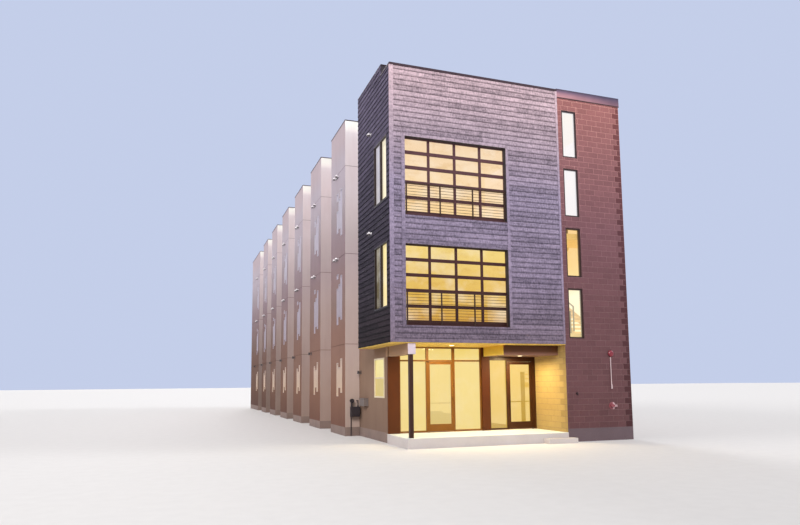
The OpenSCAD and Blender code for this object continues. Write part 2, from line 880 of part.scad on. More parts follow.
module leaf_glass() {
    translate([stile_w, (leaf_t - glass_t) / 2, bottom_rail_h])
        cube([leaf_w - 2 * stile_w, glass_t, leaf_h - bottom_rail_h - stile_w]);
}

module at_left_leaf() {
    placed() translate([left_door_x + door_gap, leaf_y, leaf_z0]) children();
}

module at_right_leaf() {
    placed() translate([right_door_x + door_w - door_gap, leaf_y, leaf_z0])
        mirror([1, 0, 0]) children();
}

module left_door() {
    color(BRONZE) at_left_leaf() leaf_frame();
}

module left_door_glass() {
    color(GLASS) at_left_leaf() leaf_glass();
}

module right_door() {
    color(BRONZE) at_right_leaf() leaf_frame();
}

module right_door_glass() {
    color(GLASS) at_right_leaf() leaf_glass();
}

module entry_beam() {
    color("#8a5a3a") placed()
        block(beam_x, beam_y, beam_z, box_w, store_y, store_head);
}

module steel_post() {
    rim = post_head_extra / 2;
    color(BRONZE) placed() {
        block(post_x, post_y, porch_z, post_x + post_w, post_y + post_w,
            store_head - post_head_h);
        block(post_x - rim, post_y - rim, store_head - post_head_h,
            post_x + post_w + rim, post_y + post_w + rim, store_head);
    }
}

// Windows

// Bars of one big window in their rebate, and its metal sill
module big_window(z) {
    x = big_x - rebate_w;
    w = big_w + 2 * rebate_w;
    pane_w = (w - (big_cols + 1) * bar_w) / big_cols;
    pane_h = (big_h + rebate_w - foot_bar_h - big_rows * crossbar_h) / big_rows;
    difference() {
        block(x, big_setback, z, x + w, big_setback + big_frame_d, z + big_h + rebate_w);
        for (c = [0 : big_cols - 1], r = [0 : big_rows - 1])
            translate([x + bar_w + c * (pane_w + bar_w), big_setback - 1,
                z + foot_bar_h + r * (pane_h + crossbar_h)])
                cube([pane_w, big_frame_d + 2, pane_h]);
    }
    block(big_x, -sill_proud, z, big_x + big_w, big_setback, z + sill_t);
}

// Posts, round bars and top rail between the sides of one big window's opening
module guard(z) {
    post_pitch = (big_w - 2 * guard_post_in - guard_post_w) / 3;
    top_t = 30;
    for (i = [0 : 3]) translate([big_x + guard_post_in + i * post_pitch, guard_in, z])
        cube([guard_post_w, guard_post_w, guard_h - top_t]);
    for (k = [1 : guard_bars_n])
        translate([big_x, guard_in + guard_post_w / 2, z + k * guard_h / (guard_bars_n + 1)])
            rotate([0, 90, 0]) cylinder(r = guard_bar_r, h = big_w, $fn = 16);
    block(big_x, guard_in, z + guard_h - top_t, big_x + big_w, guard_in + guard_post_w,
        z + guard_h);
}

module guard_rails() {
    color(DARK) placed() for (z = [level_2, level_3]) guard(z + big_sill + sill_t);
}

module side_window(z) {
    x = -side_frame_proud;
    west_frame(x, side_win_y, z, side_win_w, side_win_h, frame_w, frame_d);
    block(x, side_win_y + (side_win_w - bar_w) / 2, z + frame_w / 2,
        x + frame_d, side_win_y + (side_win_w + bar_w) / 2, z + side_win_h - frame_w / 2);
}

module window_frames() {
    color(BRONZE) placed() {
        for (z = [level_2, level_3]) {
            big_window(z + big_sill);
            side_window(z + side_win_sill);
        }
        for (i = [0 : 3]) street_frame(tower_win_x, tower_setback + tower_frame_in,
            tower_win_sill + i * tower_win_pitch, tower_win_w, tower_win_h, frame_w,
            frame_d);
    }
}

module upper_glass() {
    side_x = frame_d - side_frame_proud - 3 * glass_t;
    pane_w = (side_win_w - 2 * frame_w - bar_w) / 2;
    placed() {
        for (z = [level_2 + big_sill, level_3 + big_sill])
            block(big_x - rebate_w + bar_w, big_setback + big_frame_d, z + foot_bar_h,
                big_x + big_w + rebate_w - bar_w, big_setback + big_frame_d + glass_t,
                z + big_h + rebate_w - crossbar_h);
        for (z = [level_2 + side_win_sill, level_3 + side_win_sill],
            y = [side_win_y + frame_w, side_win_y + frame_w + pane_w + bar_w])
            block(side_x, y, z + frame_w, side_x + glass_t, y + pane_w,
                z + side_win_h - frame_w);
        for (i = [0 : 3]) {
            y = tower_setback + tower_frame_in + frame_d / 2;
            z = tower_win_sill + i * tower_win_pitch;
            block(tower_win_x + frame_w, y, z + frame_w, tower_win_x + tower_win_w - frame_w,
                y + glass_t, z + tower_win_h - frame_w);
        }
    }
}

module window_glass() {
    color(GLASS) {
        storefront_glass();
        upper_glass();
    }
}

module bay_slot_frames() {
    for (i = [0 : bay_n - 1]) at_slots(bay_y0(i))
        west_frame(-slot_proud, 0, 0, slot_w, $slot_h, slot_frame_w, slot_frame_d);
}

module bay_slot_glass() {
    for (i = [0 : bay_n - 1]) at_slots(bay_y0(i))
        block(slot_frame_d / 2, slot_frame_w, slot_frame_w, slot_frame_d / 2 + glass_t,
            slot_w - slot_frame_w, $slot_h - slot_frame_w);
}

module slot_window_frames() {
    color(WHITE) placed() {
        bay_slot_frames();
        east() bay_slot_frames();
    }
}

module slot_window_glass() {
    color(GLASS) placed() {
        bay_slot_glass();
        east() bay_slot_glass();
    }
}

// Two sashes one above the other, met at a rail halfway up
module ground_window() {
    z = floor_z + ground_win_sill;
    rim = 60;
    rail = 50;
    glass_x = recess_d + 30;
    color(WHITE) placed() {
        west_frame(recess_d - side_frame_proud, ground_win_y, z, ground_win_w,
            ground_win_h, rim, frame_d);
        block(recess_d, ground_win_y + rim, z + (ground_win_h - rail) / 2, recess_d + rim,
            ground_win_y + ground_win_w - rim, z + (ground_win_h + rail) / 2);
        block(glass_x, ground_win_y + rim, z + rim, glass_x + glass_t,
            ground_win_y + ground_win_w - rim, z + ground_win_h - rim);
    }
}

// Pieces on the walls

// Upright pipe of radius r from z0 to z1
module pipe_up(r, z0, z1) {
    translate([0, 0, z0]) cylinder(r = r, h = z1 - z0, $fn = 24);
}

// Case with its round cover, two unions above it, and a regulator on the riser
// that stands between the case and the wall of the first bay
module gas_meter() {
    case_top = meter_z + meter_h;
    riser_back = 55;
    front = meter_d + 2 * riser_back;
    pipe_r = 19;
    top_z = case_top + 230;
    side = meter_w / 2 - 60;
    color("#5b5f66") placed() translate([meter_x, row_start, 0]) {
        translate([-meter_w / 2, -front, meter_z]) cube([meter_w, meter_d, meter_h]);
        translate([0, -front - 25, meter_z + meter_h / 2]) rotate([-90, 0, 0])
            cylinder(r = meter_h / 2 - 25, h = meter_d + 50, $fn = 48);
        for (x = [-side, side]) translate([x, -front + meter_d / 2, 0]) {
            pipe_up(pipe_r + 13, case_top - 5, case_top + 55);
            pipe_up(pipe_r, case_top, top_z);
        }
        translate([-side, -front + meter_d / 2 - 40, top_z]) rotate([-90, 0, 0])
            cylinder(r = 85, h = 80, $fn = 48);
        translate([-side, -front + meter_d / 2, top_z]) rotate([-90, 0, 0])
            cylinder(r = pipe_r, h = front - meter_d / 2 - riser_back, $fn = 24);
        translate([-side, -riser_back, 0]) pipe_up(pipe_r, 0, top_z + pipe_r);
        translate([side, -front + meter_d / 2, top_z]) sphere(r = pipe_r + 6, $fn = 24);
        translate([side, -front + meter_d / 2, top_z]) rotate([-90, 0, 0])
            cylinder(r = pipe_r, h = front - meter_d / 2, $fn = 24);
    }
}

// White box, the dark switch box beside it and the conduit between them
module meter_box() {
    box_l = 620;
    box_h = 280;
    switch_l = 160;
    switch_h = 210;
    apart = 40;
    color("#cfcac4") placed()
        translate([recess_d, row_start - meter_box_in, meter_box_z]) {
        block(-180, 0, 0, 0, box_l, box_h);
        block(-195, -12, box_h, 0, box_l + 12, box_h + 12);
        block(-110, box_l + apart, 50, 0, box_l + apart + switch_l, 50 + switch_h);
        translate([-60, box_l - 10, box_h / 2]) rotate([-90, 0, 0])
            cylinder(r = 20, h = apart + 20, $fn = 24);
    }
}

// Back plate on a wall that faces west, its back at x = 0
module wall_plate(w, h) {
    plate_t = 20;
    translate([-plate_t, -w / 2, -h / 2]) cube([plate_t, w, h]);
}

// A small shaded lamp that shines down a wall
module wall_lamp() {
    reach = 110;
    shade_h = 120;
    wall_plate(110, 140);
    translate([-reach, 0, -shade_h / 2]) cylinder(r1 = 55, r2 = 38, h = shade_h, $fn = 24);
    translate([-reach, -15, -10]) cube([reach, 30, 20]);
}

module wall_lights() {
    color("#3d3a3a") placed() {
        for (i = [1 : bay_n - 1])
            translate([0, bay_y0(i) + bay_l - lamp_in, level_2 - lamp_drop]) wall_lamp();
        translate([recess_d, row_start - side_lamp_in, floor_z + side_lamp_h]) wall_lamp();
    }
}

// One head: a short neck out of the plate and a wider lamp turned down
module flood_head() {
    neck_l = 75;
    translate([-neck_l, 0, -10]) rotate([0, 90, 0]) cylinder(r = 14, h = neck_l, $fn = 24);
    translate([-neck_l - 40, 0, -30]) rotate([0, 30, 0])
        cylinder(r1 = flood_r, r2 = flood_r * 0.65, h = 1.4 * flood_r, $fn = 32);
}

module twin_flood() {
    wall_plate(2 * flood_head_in + 30, 80);
    for (y = [-flood_head_in, flood_head_in]) translate([0, y, 0]) flood_head();
}

module flood_lights() {
    color(WHITE) placed() for (z = [level_2 + flood_h, level_3 + flood_h]) {
        for (i = [0 : bay_n - 1])
            translate([0, bay_y0(i) + bay_l - flood_in, z]) twin_flood();
        translate([0, box_d - spot_in, z]) {
            wall_plate(120, 120);
            flood_head();
        }
    }
}

module alarm_bell() {
    x = row_w - bell_in;
    bell_cap_r = 50;
    conduit_r = 16;
    color("#b3202c") placed() {
        translate([x, tower_setback, floor_z + bell_h]) rotate([90, 0, 0]) {
            cylinder(r = bell_cap_r, h = 35, $fn = 32);
            translate([0, 0, 35]) rotate_extrude($fn = 48) polygon([[0, 0], [bell_r, 0],
                [bell_r, 12], [bell_r * 0.92, 34], [bell_r * 0.6, 55], [0, 62]]);
        }
        translate([x, tower_setback - conduit_r, floor_z + bell_h - bell_cap_r - conduit_l])
            cylinder(r = conduit_r, h = conduit_l + bell_cap_r / 2, $fn = 24);
        translate([x, tower_setback - 2 * conduit_r, floor_z + bell_h - bell_cap_r - conduit_l
            - 60]) cylinder(r1 = 2 * conduit_r - 2, r2 = conduit_r, h = 160, $fn = 24);
    }
}

// Round plate, short body and two outlets that spread to the sides
module fire_connection() {
    plate_r = 130;
    body_r = 60;
    body_l = 80;
    outlet_r = 42;
    outlet_l = 110;
    spread = 35;
    color("#b3202c")
        placed() translate([row_w - bell_in, tower_setback, floor_z + fire_h])
        rotate([90, 0, 0]) {
        cylinder(r = plate_r, h = 12, $fn = 48);
        cylinder(r = body_r, h = body_l, $fn = 48);
        for (s = [-1, 1]) translate([s * body_r / 2, 0, body_r]) rotate([0, s * spread, 0])
            cylinder(r = outlet_r, h = outlet_l, $fn = 32);
    }
}

// Flange and spout with its nozzle, and a round handle on a stem above it
module hose_bib() {
    spout_l = 90;
    spout_r = 13;
    nozzle_l = 65;
    handle_r = 30;
    stem_h = 45;
    color("#26231f") placed() translate([box_w + hose_in, tower_setback, floor_z + hose_h]) {
        rotate([90, 0, 0]) cylinder(r = handle_r, h = 14, $fn = 32);
        rotate([90, 0, 0]) cylinder(r = spout_r, h = spout_l, $fn = 24);
        translate([0, -spout_l + 10, 10 - nozzle_l])
            cylinder(r = spout_r + 2, h = nozzle_l, $fn = 24);
        translate([0, -spout_l / 2, 0]) {
            cylinder(r = 8, h = stem_h, $fn = 24);
            translate([0, 0, stem_h]) cylinder(r = handle_r, h = 10, $fn = 32);
        }
    }
}

// One light before the left door and one under the middle of the entry beam
module soffit_lights() {
    t = 6;
    color("#f7ecc8") placed() {
        translate([left_door_x + door_w / 2, store_y / 2, store_head - t])
            cylinder(r = soffit_light_r, h = t, $fn = 32);
        translate([(beam_x + box_w) / 2, (beam_y + store_y) / 2, beam_z - t])
            cylinder(r = soffit_light_r, h = t, $fn = 32);
    }
}

foundation();
entry_slab();
tower_base();
bay_walls();
bay_returns();
recess_walls();
rear_wall();
wood_front_wall();
wood_side_wall();
wood_back_return();
side_wall();
tower_front_wall();
tower_side_wall();
tower_inner_wall();
tower_back_wall();
tower_cap();
stair_treads();
stair_stringers();
stair_landings();
stair_handrails();
floor_2();
floor_3();
roof_decks();
upper_parapet();
parapet_coping();
front_soffit();
entry_beam();
entry_columns();
steel_post();
storefront_frames();
door_headers();
door_pivots();
left_door();
left_door_glass();
right_door();
right_door_glass();
window_frames();
window_glass();
guard_rails();
slot_window_frames();
slot_window_glass();
ground_window();
gas_meter();
meter_box();
wall_lights();
flood_lights();
alarm_bell();
fire_connection();
hose_bib();
soffit_lights();
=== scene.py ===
"""Dresses the terraced house row: boards, blocks, stucco, glazing, rooms that glow with painted
light, and fittings.
"""

import logging
import math
import random
from collections.abc import Callable
from dataclasses import dataclass
from enum import Enum

import bmesh
import bpy
from mathutils import Matrix, Vector


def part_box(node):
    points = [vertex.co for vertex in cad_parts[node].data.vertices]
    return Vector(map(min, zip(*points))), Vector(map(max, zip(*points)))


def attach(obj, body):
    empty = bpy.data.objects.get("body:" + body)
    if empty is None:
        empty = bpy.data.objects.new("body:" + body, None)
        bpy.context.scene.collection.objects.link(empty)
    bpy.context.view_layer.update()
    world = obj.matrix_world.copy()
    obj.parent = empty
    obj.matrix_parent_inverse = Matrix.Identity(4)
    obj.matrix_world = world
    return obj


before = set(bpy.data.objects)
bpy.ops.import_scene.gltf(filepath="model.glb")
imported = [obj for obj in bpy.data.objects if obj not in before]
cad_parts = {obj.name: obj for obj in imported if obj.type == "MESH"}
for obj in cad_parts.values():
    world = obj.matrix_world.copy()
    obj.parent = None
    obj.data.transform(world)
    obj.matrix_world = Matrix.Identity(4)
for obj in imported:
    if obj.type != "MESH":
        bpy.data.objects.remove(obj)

log = logging.getLogger("row")
BUILDING = "building"
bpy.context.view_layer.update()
Colour = tuple[float, float, float]
Stops = tuple[tuple[float, Colour], ...]
Span = tuple[float, float]
Point = tuple[float, float, float]
Material = bpy.types.Material
WHITE: Colour = (1.0, 1.0, 1.0)
UNLIT: Colour = (0.0, 0.0, 0.0)
PLASTER: Colour = (0.3, 0.26, 0.2)
BOARD = 0.18
NIL = 1e-6
HAIR = 1e-4
SLIVER = 0.01
NEAR = 0.006
ROOF_BUILD_UP = 0.3


class Side(Enum):
    """A wall's outward direction."""

    STREET = "street"
    WEST = "west"
    EAST = "east"


class LampKind(Enum):
    """The kinds of lamp in the studio."""

    SUN = "SUN"
    AREA = "AREA"


@dataclass(frozen=True)
class Plane:
    """A wall face as its own flat coordinates: along the wall, out of it, and up.

    Its depth is how far it lies from the part's origin along its outward direction, in metres.
    """

    side: Side
    depth: float

    def matrix(self) -> Matrix:
        """Turns (along, out, up) into the part's frame.

        Returns:
            The transform of the face.
        """
        along, out = {
            Side.STREET: ((1, 0, 0), (0, -1, 0)),
            Side.WEST: ((0, 1, 0), (-1, 0, 0)),
            Side.EAST: ((0, 1, 0), (1, 0, 0)),
        }[self.side]
        turn = Matrix((along, out, (0, 0, 1))).transposed().to_4x4()
        return Matrix.Translation(Vector(out) * self.depth) @ turn


@dataclass(frozen=True)
class Rect:
    """A rectangle on a wall face: from lo to hi along it and from foot to top, in metres."""

    lo: float
    hi: float
    foot: float
    top: float

    def spans_height(self, foot: float, top: float) -> bool:
        """Whether it overlaps the band from foot to top."""
        return self.foot < top - NIL and self.top > foot + NIL

    def moved(self, along: float, up: float) -> "Rect":
        """The same rectangle, moved along its face and up."""
        return Rect(along + self.lo, along + self.hi, up + self.foot, up + self.top)


@dataclass(frozen=True)
class Layout:
    """Main faces of the row, read from the solids, in metres."""

    left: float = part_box("wood_front_wall")[0].x
    street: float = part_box("wood_front_wall")[0].y
    box_right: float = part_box("wood_front_wall")[1].x
    box_top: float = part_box("wood_front_wall")[1].z
    box_back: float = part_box("wood_side_wall")[1].y
    box_foot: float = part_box("wood_front_wall")[0].z
    high_top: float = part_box("wood_side_wall")[1].z
    tower_face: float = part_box("tower_front_wall")[0].y
    tower_right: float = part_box("tower_side_wall")[1].x
    tower_foot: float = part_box("tower_front_wall")[0].z
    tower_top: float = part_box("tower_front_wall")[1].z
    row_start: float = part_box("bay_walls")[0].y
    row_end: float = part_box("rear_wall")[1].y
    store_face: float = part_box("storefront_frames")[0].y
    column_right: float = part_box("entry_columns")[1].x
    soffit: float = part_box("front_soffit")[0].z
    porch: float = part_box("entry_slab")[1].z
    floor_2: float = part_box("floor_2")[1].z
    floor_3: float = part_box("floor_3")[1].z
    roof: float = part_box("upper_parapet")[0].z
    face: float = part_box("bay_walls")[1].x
    wall: float = 0.25
    box_wall: float = 0.3
    block: float = 0.2
    deck: float = 0.4
    recess: float = 0.59
    bay_pitch: float = 4.63
    bay_length: float = 2.45
    end_bay_length: float = 5.22


L = Layout()


def maths(operation: str, swapped: bool = False) -> Callable[["Sock", "Sock | float"], "Sock"]:
    """Makes a method that adds one Math node on a socket and another value.

    Args:
        operation: What the node does.
        swapped: Whether the other value comes first.

    Returns:
        The method.
    """

    def method(self: "Sock", other: "Sock | float") -> "Sock":
        """Adds the node on both values."""
        return self.math(operation, *((other, self) if swapped else (self, other)))

    return method


class Sock:
    """A node socket that does shader maths with Python's operators.

    A comparison gives 1 or 0; least and most give the lesser and the greater of two values.
    """

    __add__ = __radd__ = maths("ADD")
    __sub__ = maths("SUBTRACT")
    __rsub__ = maths("SUBTRACT", swapped=True)
    __mul__ = __rmul__ = maths("MULTIPLY")
    __truediv__ = maths("DIVIDE")
    __gt__ = maths("GREATER_THAN")
    __lt__ = maths("LESS_THAN")
    least = maths("MINIMUM")
    most = maths("MAXIMUM")

    def __init__(self, graph: "Graph", out: bpy.types.NodeSocket) -> None:
        """Wraps one output socket of a graph."""
        self.graph = graph
        self.out = out

    def math(self, operation: str, *values: "Sock | float") -> "Sock":
        """Adds one Math node on the values."""
        return self.graph.node("ShaderNodeMath", {"operation": operation}, *values)

    def __abs__(self) -> "Sock":
        """The absolute value."""
        return self.math("ABSOLUTE", self)

    def wrap(self, period: float) -> "Sock":
        """The value folded into 0..period."""
        return self.math("WRAP", self, period, 0.0)

    def floor(self) -> "Sock":
        """The whole number below."""
        return self.math("FLOOR", self)

    def between(self, lo: float, hi: float) -> "Sock":
        """1 from lo to hi and a little beyond, else 0."""
        return (self > lo - NEAR) * (self < hi + NEAR)

    def choose(self, no: "Sock | float", yes: "Sock | float") -> "Sock":
        """The number for yes where self is 1, and the one for no where it is 0."""
        return self * (yes - no) + no

    def ramp(self, lo: float, hi: float, to_lo: float = 0.0, to_hi: float = 1.0) -> "Sock":
        """Carries lo..hi to to_lo..to_hi and holds the ends."""
        return self.graph.node("ShaderNodeMapRange", {"clamp": True}, self, lo, hi, to_lo, to_hi)


class Graph:
    """A material's or a world's node tree, written as expressions."""

    def __init__(self, name: str, world: bool = False) -> None:
        """Starts an empty graph.

        Args:
            name: The name of its material or world.
            world: Whether it belongs to a world.
        """
        self.owner = (bpy.data.worlds if world else bpy.data.materials).new(name)
        self.owner.use_nodes = True
        self.tree = self.owner.node_tree
        self.tree.nodes.clear()

    def node(self, kind: str, settings: dict | None = None, *values: object,
             pick: str | int = 0, **named: object) -> Sock:
        """Adds a node of any type.

        Args:
            kind: The node's type.
            settings: Its own settings, set first; "stops" gives a ramp's positions and colours.
            values: Numbers or sockets for its inputs in order; None leaves one alone.
            pick: The output to return, by name or place.
            named: Inputs by name, with _ for a space.

        Returns:
            The chosen output.
        """
        made = self.tree.nodes.new(kind)
        for key, value in (settings or {}).items():
            if key == "stops":
                ramp = made.color_ramp.elements
                while len(ramp) < len(value):
                    ramp.new(0.5)
                for stop, (place, colour) in zip(ramp, value):
                    stop.position = place
                    stop.color = (*colour, 1.0)
            else:
                setattr(made, key, value)
        ports = [(made.inputs[i], v) for i, v in enumerate(values) if v is not None]
        ports += [(made.inputs[k.replace("_", " ")], v) for k, v in named.items()]
        for port, value in ports:
            if isinstance(value, Sock):
                self.tree.links.new(value.out, port)
            else:
                port.default_value = (*value, 1.0) if port.type == "RGBA" else value
        return Sock(self, made.outputs[pick])

    def place(self, axis: str | None = None) -> Sock:
        """The Object coordinates, or one axis of them."""
        whole = self.node("ShaderNodeTexCoord", pick="Object")
        return self.node("ShaderNodeSeparateXYZ", None, whole, pick=axis) if axis else whole

    def axes(self) -> list[Sock]:
        """The Object coordinates along the front, back and up."""
        return [self.place(axis) for axis in "XYZ"]

    def scaled(self, x: float, y: float, z: float) -> Sock:
        """The Object coordinates with each axis scaled."""
        return self.node("ShaderNodeMapping", None, self.place(), Scale=(x, y, z))

    def noise(self, scale: float, detail: float = 2.0, where: Sock | None = None,
              rough: float = 0.5) -> Sock:
        """Soft noise from 0 to 1 at a scale in cycles per metre."""
        return self.node("ShaderNodeTexNoise", None, where or self.place(), Scale=scale,
                         Detail=detail, Roughness=rough)

    def attribute(self, name: str) -> Sock:
        """A number that the mesh holds under that name."""
        return self.node("ShaderNodeAttribute", {"attribute_name": name}, pick="Fac")

    def mix(self, share: Sock | float, low: Sock | Colour, high: Sock | Colour,
            blend: str = "MIX") -> Sock:
        """Mixes two colours by share; the node's colour inputs come after five others."""
        return self.node("ShaderNodeMix", {"data_type": "RGBA", "blend_type": blend}, share,
                         *[None] * 5, low, high, pick=2)

    def levels(self, stops: Stops) -> Sock:
        """A colour that changes with height.

        Args:
            stops: Its heights and colours.

        Returns:
            The colour.
        """
        lo, hi = stops[0][0], stops[-1][0]
        places = [((at - lo) / (hi - lo), colour) for at, colour in stops]
        return self.node("ShaderNodeValToRGB", {"stops": places}, self.place("Z").ramp(lo, hi))

    def tint(self, colour: Sock | Colour, low: Colour, high: Colour, share: Sock) -> Sock:
        """A colour times one that goes from low to high with share."""
        return self.mix(1.0, colour, self.mix(share, low, high), "MULTIPLY")

    def shade(self, colour: Sock | Colour, factor: Colour, share: Sock) -> Sock:
        """A colour, times a factor where share is 1."""
        return self.tint(colour, WHITE, factor, share)

    def bump(self, height: Sock, strength: float, distance: float) -> Sock:
        """A bumped normal from a height."""
        return self.node("ShaderNodeBump", Strength=strength, Distance=distance, Height=height)

    def end(self, shader: Sock, kind: str = "Material") -> None:
        """Links a shader to the tree's output."""
        made = self.tree.nodes.new("ShaderNodeOutput" + kind)
        self.tree.links.new(shader.out, made.inputs["Surface"])

    def finish(self, **sockets: object) -> None:
        """Ends the graph in a Principled shader, given its inputs by name, with _ for a space."""
        self.end(self.node("ShaderNodeBsdfPrincipled", **sockets))


# Painted light: faces inside the rooms and the stair hall emit these colours by height themselves;
# no lamp stands in them.
ROOM_GLOW: Stops = (
    (3.40, (0.86, 0.66, 0.27)), (3.50, (0.82, 0.52, 0.10)), (5.0, (0.88, 0.62, 0.17)),
    (7.0, (0.93, 0.72, 0.27)), (7.2, (0.95, 0.70, 0.34)), (11.2, (0.90, 0.74, 0.48)))
HALL_GLOW: Stops = (
    (3.40, (0.98, 0.82, 0.44)), (4.4, (0.98, 0.88, 0.58)), (5.5, (0.98, 0.90, 0.64)),
    (6.0, (0.80, 0.60, 0.27)), (7.3, (0.72, 0.48, 0.18)), (8.3, (0.74, 0.52, 0.24)),
    (8.8, (0.78, 0.72, 0.70)), (11.2, (0.78, 0.74, 0.74)))


class Rooms(Enum):
    """Whose faces lie inside the rooms, which glow with painted light: a kind of wall, or the
    floors and roofs.
    """

    ROW = "row"
    BOX = "box"
    TOWER = "tower"
    CEILING = "ceiling"

    def inside(self, g: Graph) -> Sock:
        """Tells the faces in the rooms from the rest.

        Args:
            g: The material's graph.

        Returns:
            1 on them, else 0.
        """
        x, y, z = g.axes()
        below = z < L.roof - ROOF_BUILD_UP
        if self is Rooms.ROW:
            x, bay = abs(x), (y - L.row_start).wrap(L.bay_pitch)
            core = x < L.face - L.recess - L.wall + NEAR
            deep = x < L.face - L.wall + NEAR
            last = y > L.row_end - L.end_bay_length + L.wall - NEAR
            bays = bay.between(L.wall, L.bay_length - L.wall).most(last)
            below = below * (y < L.row_end - L.wall + NEAR)
            return core.most(deep * bays * (y > L.row_start)) * below
        if self is Rooms.BOX:
            deep = y.between(L.street + L.box_wall, L.box_back - L.box_wall)
            return (x > L.left + L.box_wall - NEAR) * deep * below
        if self is Rooms.TOWER:
            hall = x.between(L.box_right + L.block, L.tower_right - L.block)
            hall = hall * y.between(L.tower_face + L.block, L.row_start - L.block)
            room = (x < L.box_right + NEAR) * (y > L.street + L.box_wall - NEAR) * below
            return hall.most(room * (z > L.soffit).most(y > L.store_face))
        hits = [abs(z - (face - L.deck)) < NEAR
                for face in (L.floor_2, L.floor_3, L.roof, L.tower_top)]
        return hits[0] + hits[1] + hits[2] + hits[3]

    def light(self, g: Graph, colour: Sock) -> dict[str, object]:
        """Plaster with a painted glow in the rooms, which their faces emit themselves, and the
        outer colour elsewhere.

        Args:
            g: The material's graph.
            colour: The outer colour.

        Returns:
            The shader's inputs by name.
        """
        inside, hall = self.inside(g), self is Rooms.TOWER
        glow = g.levels(HALL_GLOW if hall else ROOM_GLOW)
        return {"Base_Color": g.mix(inside, colour, PLASTER),
                "Emission_Color": g.mix(inside, UNLIT, glow),
                "Emission_Strength": 1.0 if hall else 0.8}


def scaled(stops: Stops, factor: Colour) -> Stops:
    """The same heights with every colour times a factor."""
    return tuple((z, tuple(a * b for a, b in zip(factor, colour))) for z, colour in stops)


def even(colour: Colour) -> Stops:
    """One colour at every height."""
    return ((0.0, colour), (13.0, colour))


def courses(foot: float, top: float) -> int:
    """How many board courses fill a height."""
    return round((top - foot) / BOARD)


@dataclass(frozen=True)
class Finish:
    """A named finish; each kind paints its graph in its own way."""

    name: str

    def paint(self, g: Graph) -> None:
        """Ends the graph in plain plaster; each kind of finish has its own way."""
        g.finish(Base_Color=PLASTER)

    def on(self, *nodes: str) -> Material:
        """Builds the material and gives it to CAD nodes.

        Args:
            nodes: The nodes' names.

        Returns:
            The material.
        """
        g = Graph(self.name)
        self.paint(g)
        for node in nodes:
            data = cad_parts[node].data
            data.materials.clear()
            data.materials.append(g.owner)
        return g.owner


@dataclass(frozen=True)
class Boards(Finish):
    """Weathered sawn boards: each board has its own tone, with grain, saw marks and a painted
    shadow at each lap.
    """

    stops: Stops
    along: Side = Side.STREET
    foot: float = 0.0
    top: float = BOARD
    contrast: float = 0.30
    lap: float = 0.45
    lip: float = 0.008

    def stretched(self, g: Graph, detail: float, rough: float, scale: Point) -> Sock:
        """Noise by its scales along the boards, out of them and up.

        Args:
            g: The material's graph.
            detail: The noise's detail.
            rough: The noise's roughness.
            scale: Its cycles per metre along, out and up.

        Returns:
            The noise.
        """
        along, out, up = scale
        x, y = (along, out) if self.along is Side.STREET else (out, along)
        return g.noise(1.0, detail, g.scaled(x, y, up), rough)

    def paint(self, g: Graph) -> None:
        """Mixes the boards' tones with grain, saw marks and weather, and paints a shadow at each
        lap.

        Args:
            g: The material's graph.
        """
        grain = self.stretched(g, 4.0, 0.6, (2.5, 60, 60))
        saw = self.stretched(g, 2.0, 0.7, (21, 6, 13))
        streak = self.stretched(g, 2.0, 0.65, (3.5, 8, 26))
        patches = g.noise(1.3, 3.0)
        share = g.attribute("tone") * 0.24 + streak * 0.6 + grain * 0.4 + saw + patches * 0.3
        low, high = 1 - self.contrast, 1 + self.contrast
        colour = g.tint(g.levels(self.stops), (low, low, low * 1.03), (high, high, high * 0.99),
                        (share - 0.77).ramp(0.2, 0.8))
        # Painted shadow: each course darkens in a band at its foot, where the laps meet.
        if self.lap:
            course = (self.top - self.foot) / courses(self.foot, self.top)
            edge = (g.place("Z") - self.foot + self.lip).wrap(course)
            line = (1 - edge.ramp(0.020, 0.060)) * streak.ramp(0.3, 0.55, 0.3, 1.0)
            colour = g.shade(colour, (1 - self.lap,) * 3, line)
        g.finish(Base_Color=colour, Roughness=grain.ramp(0.2, 0.9, 0.74, 0.95),
                 Specular_IOR_Level=0.12,
                 Normal=g.bump(grain * 0.5 + saw * 0.6, 0.6, 0.006))


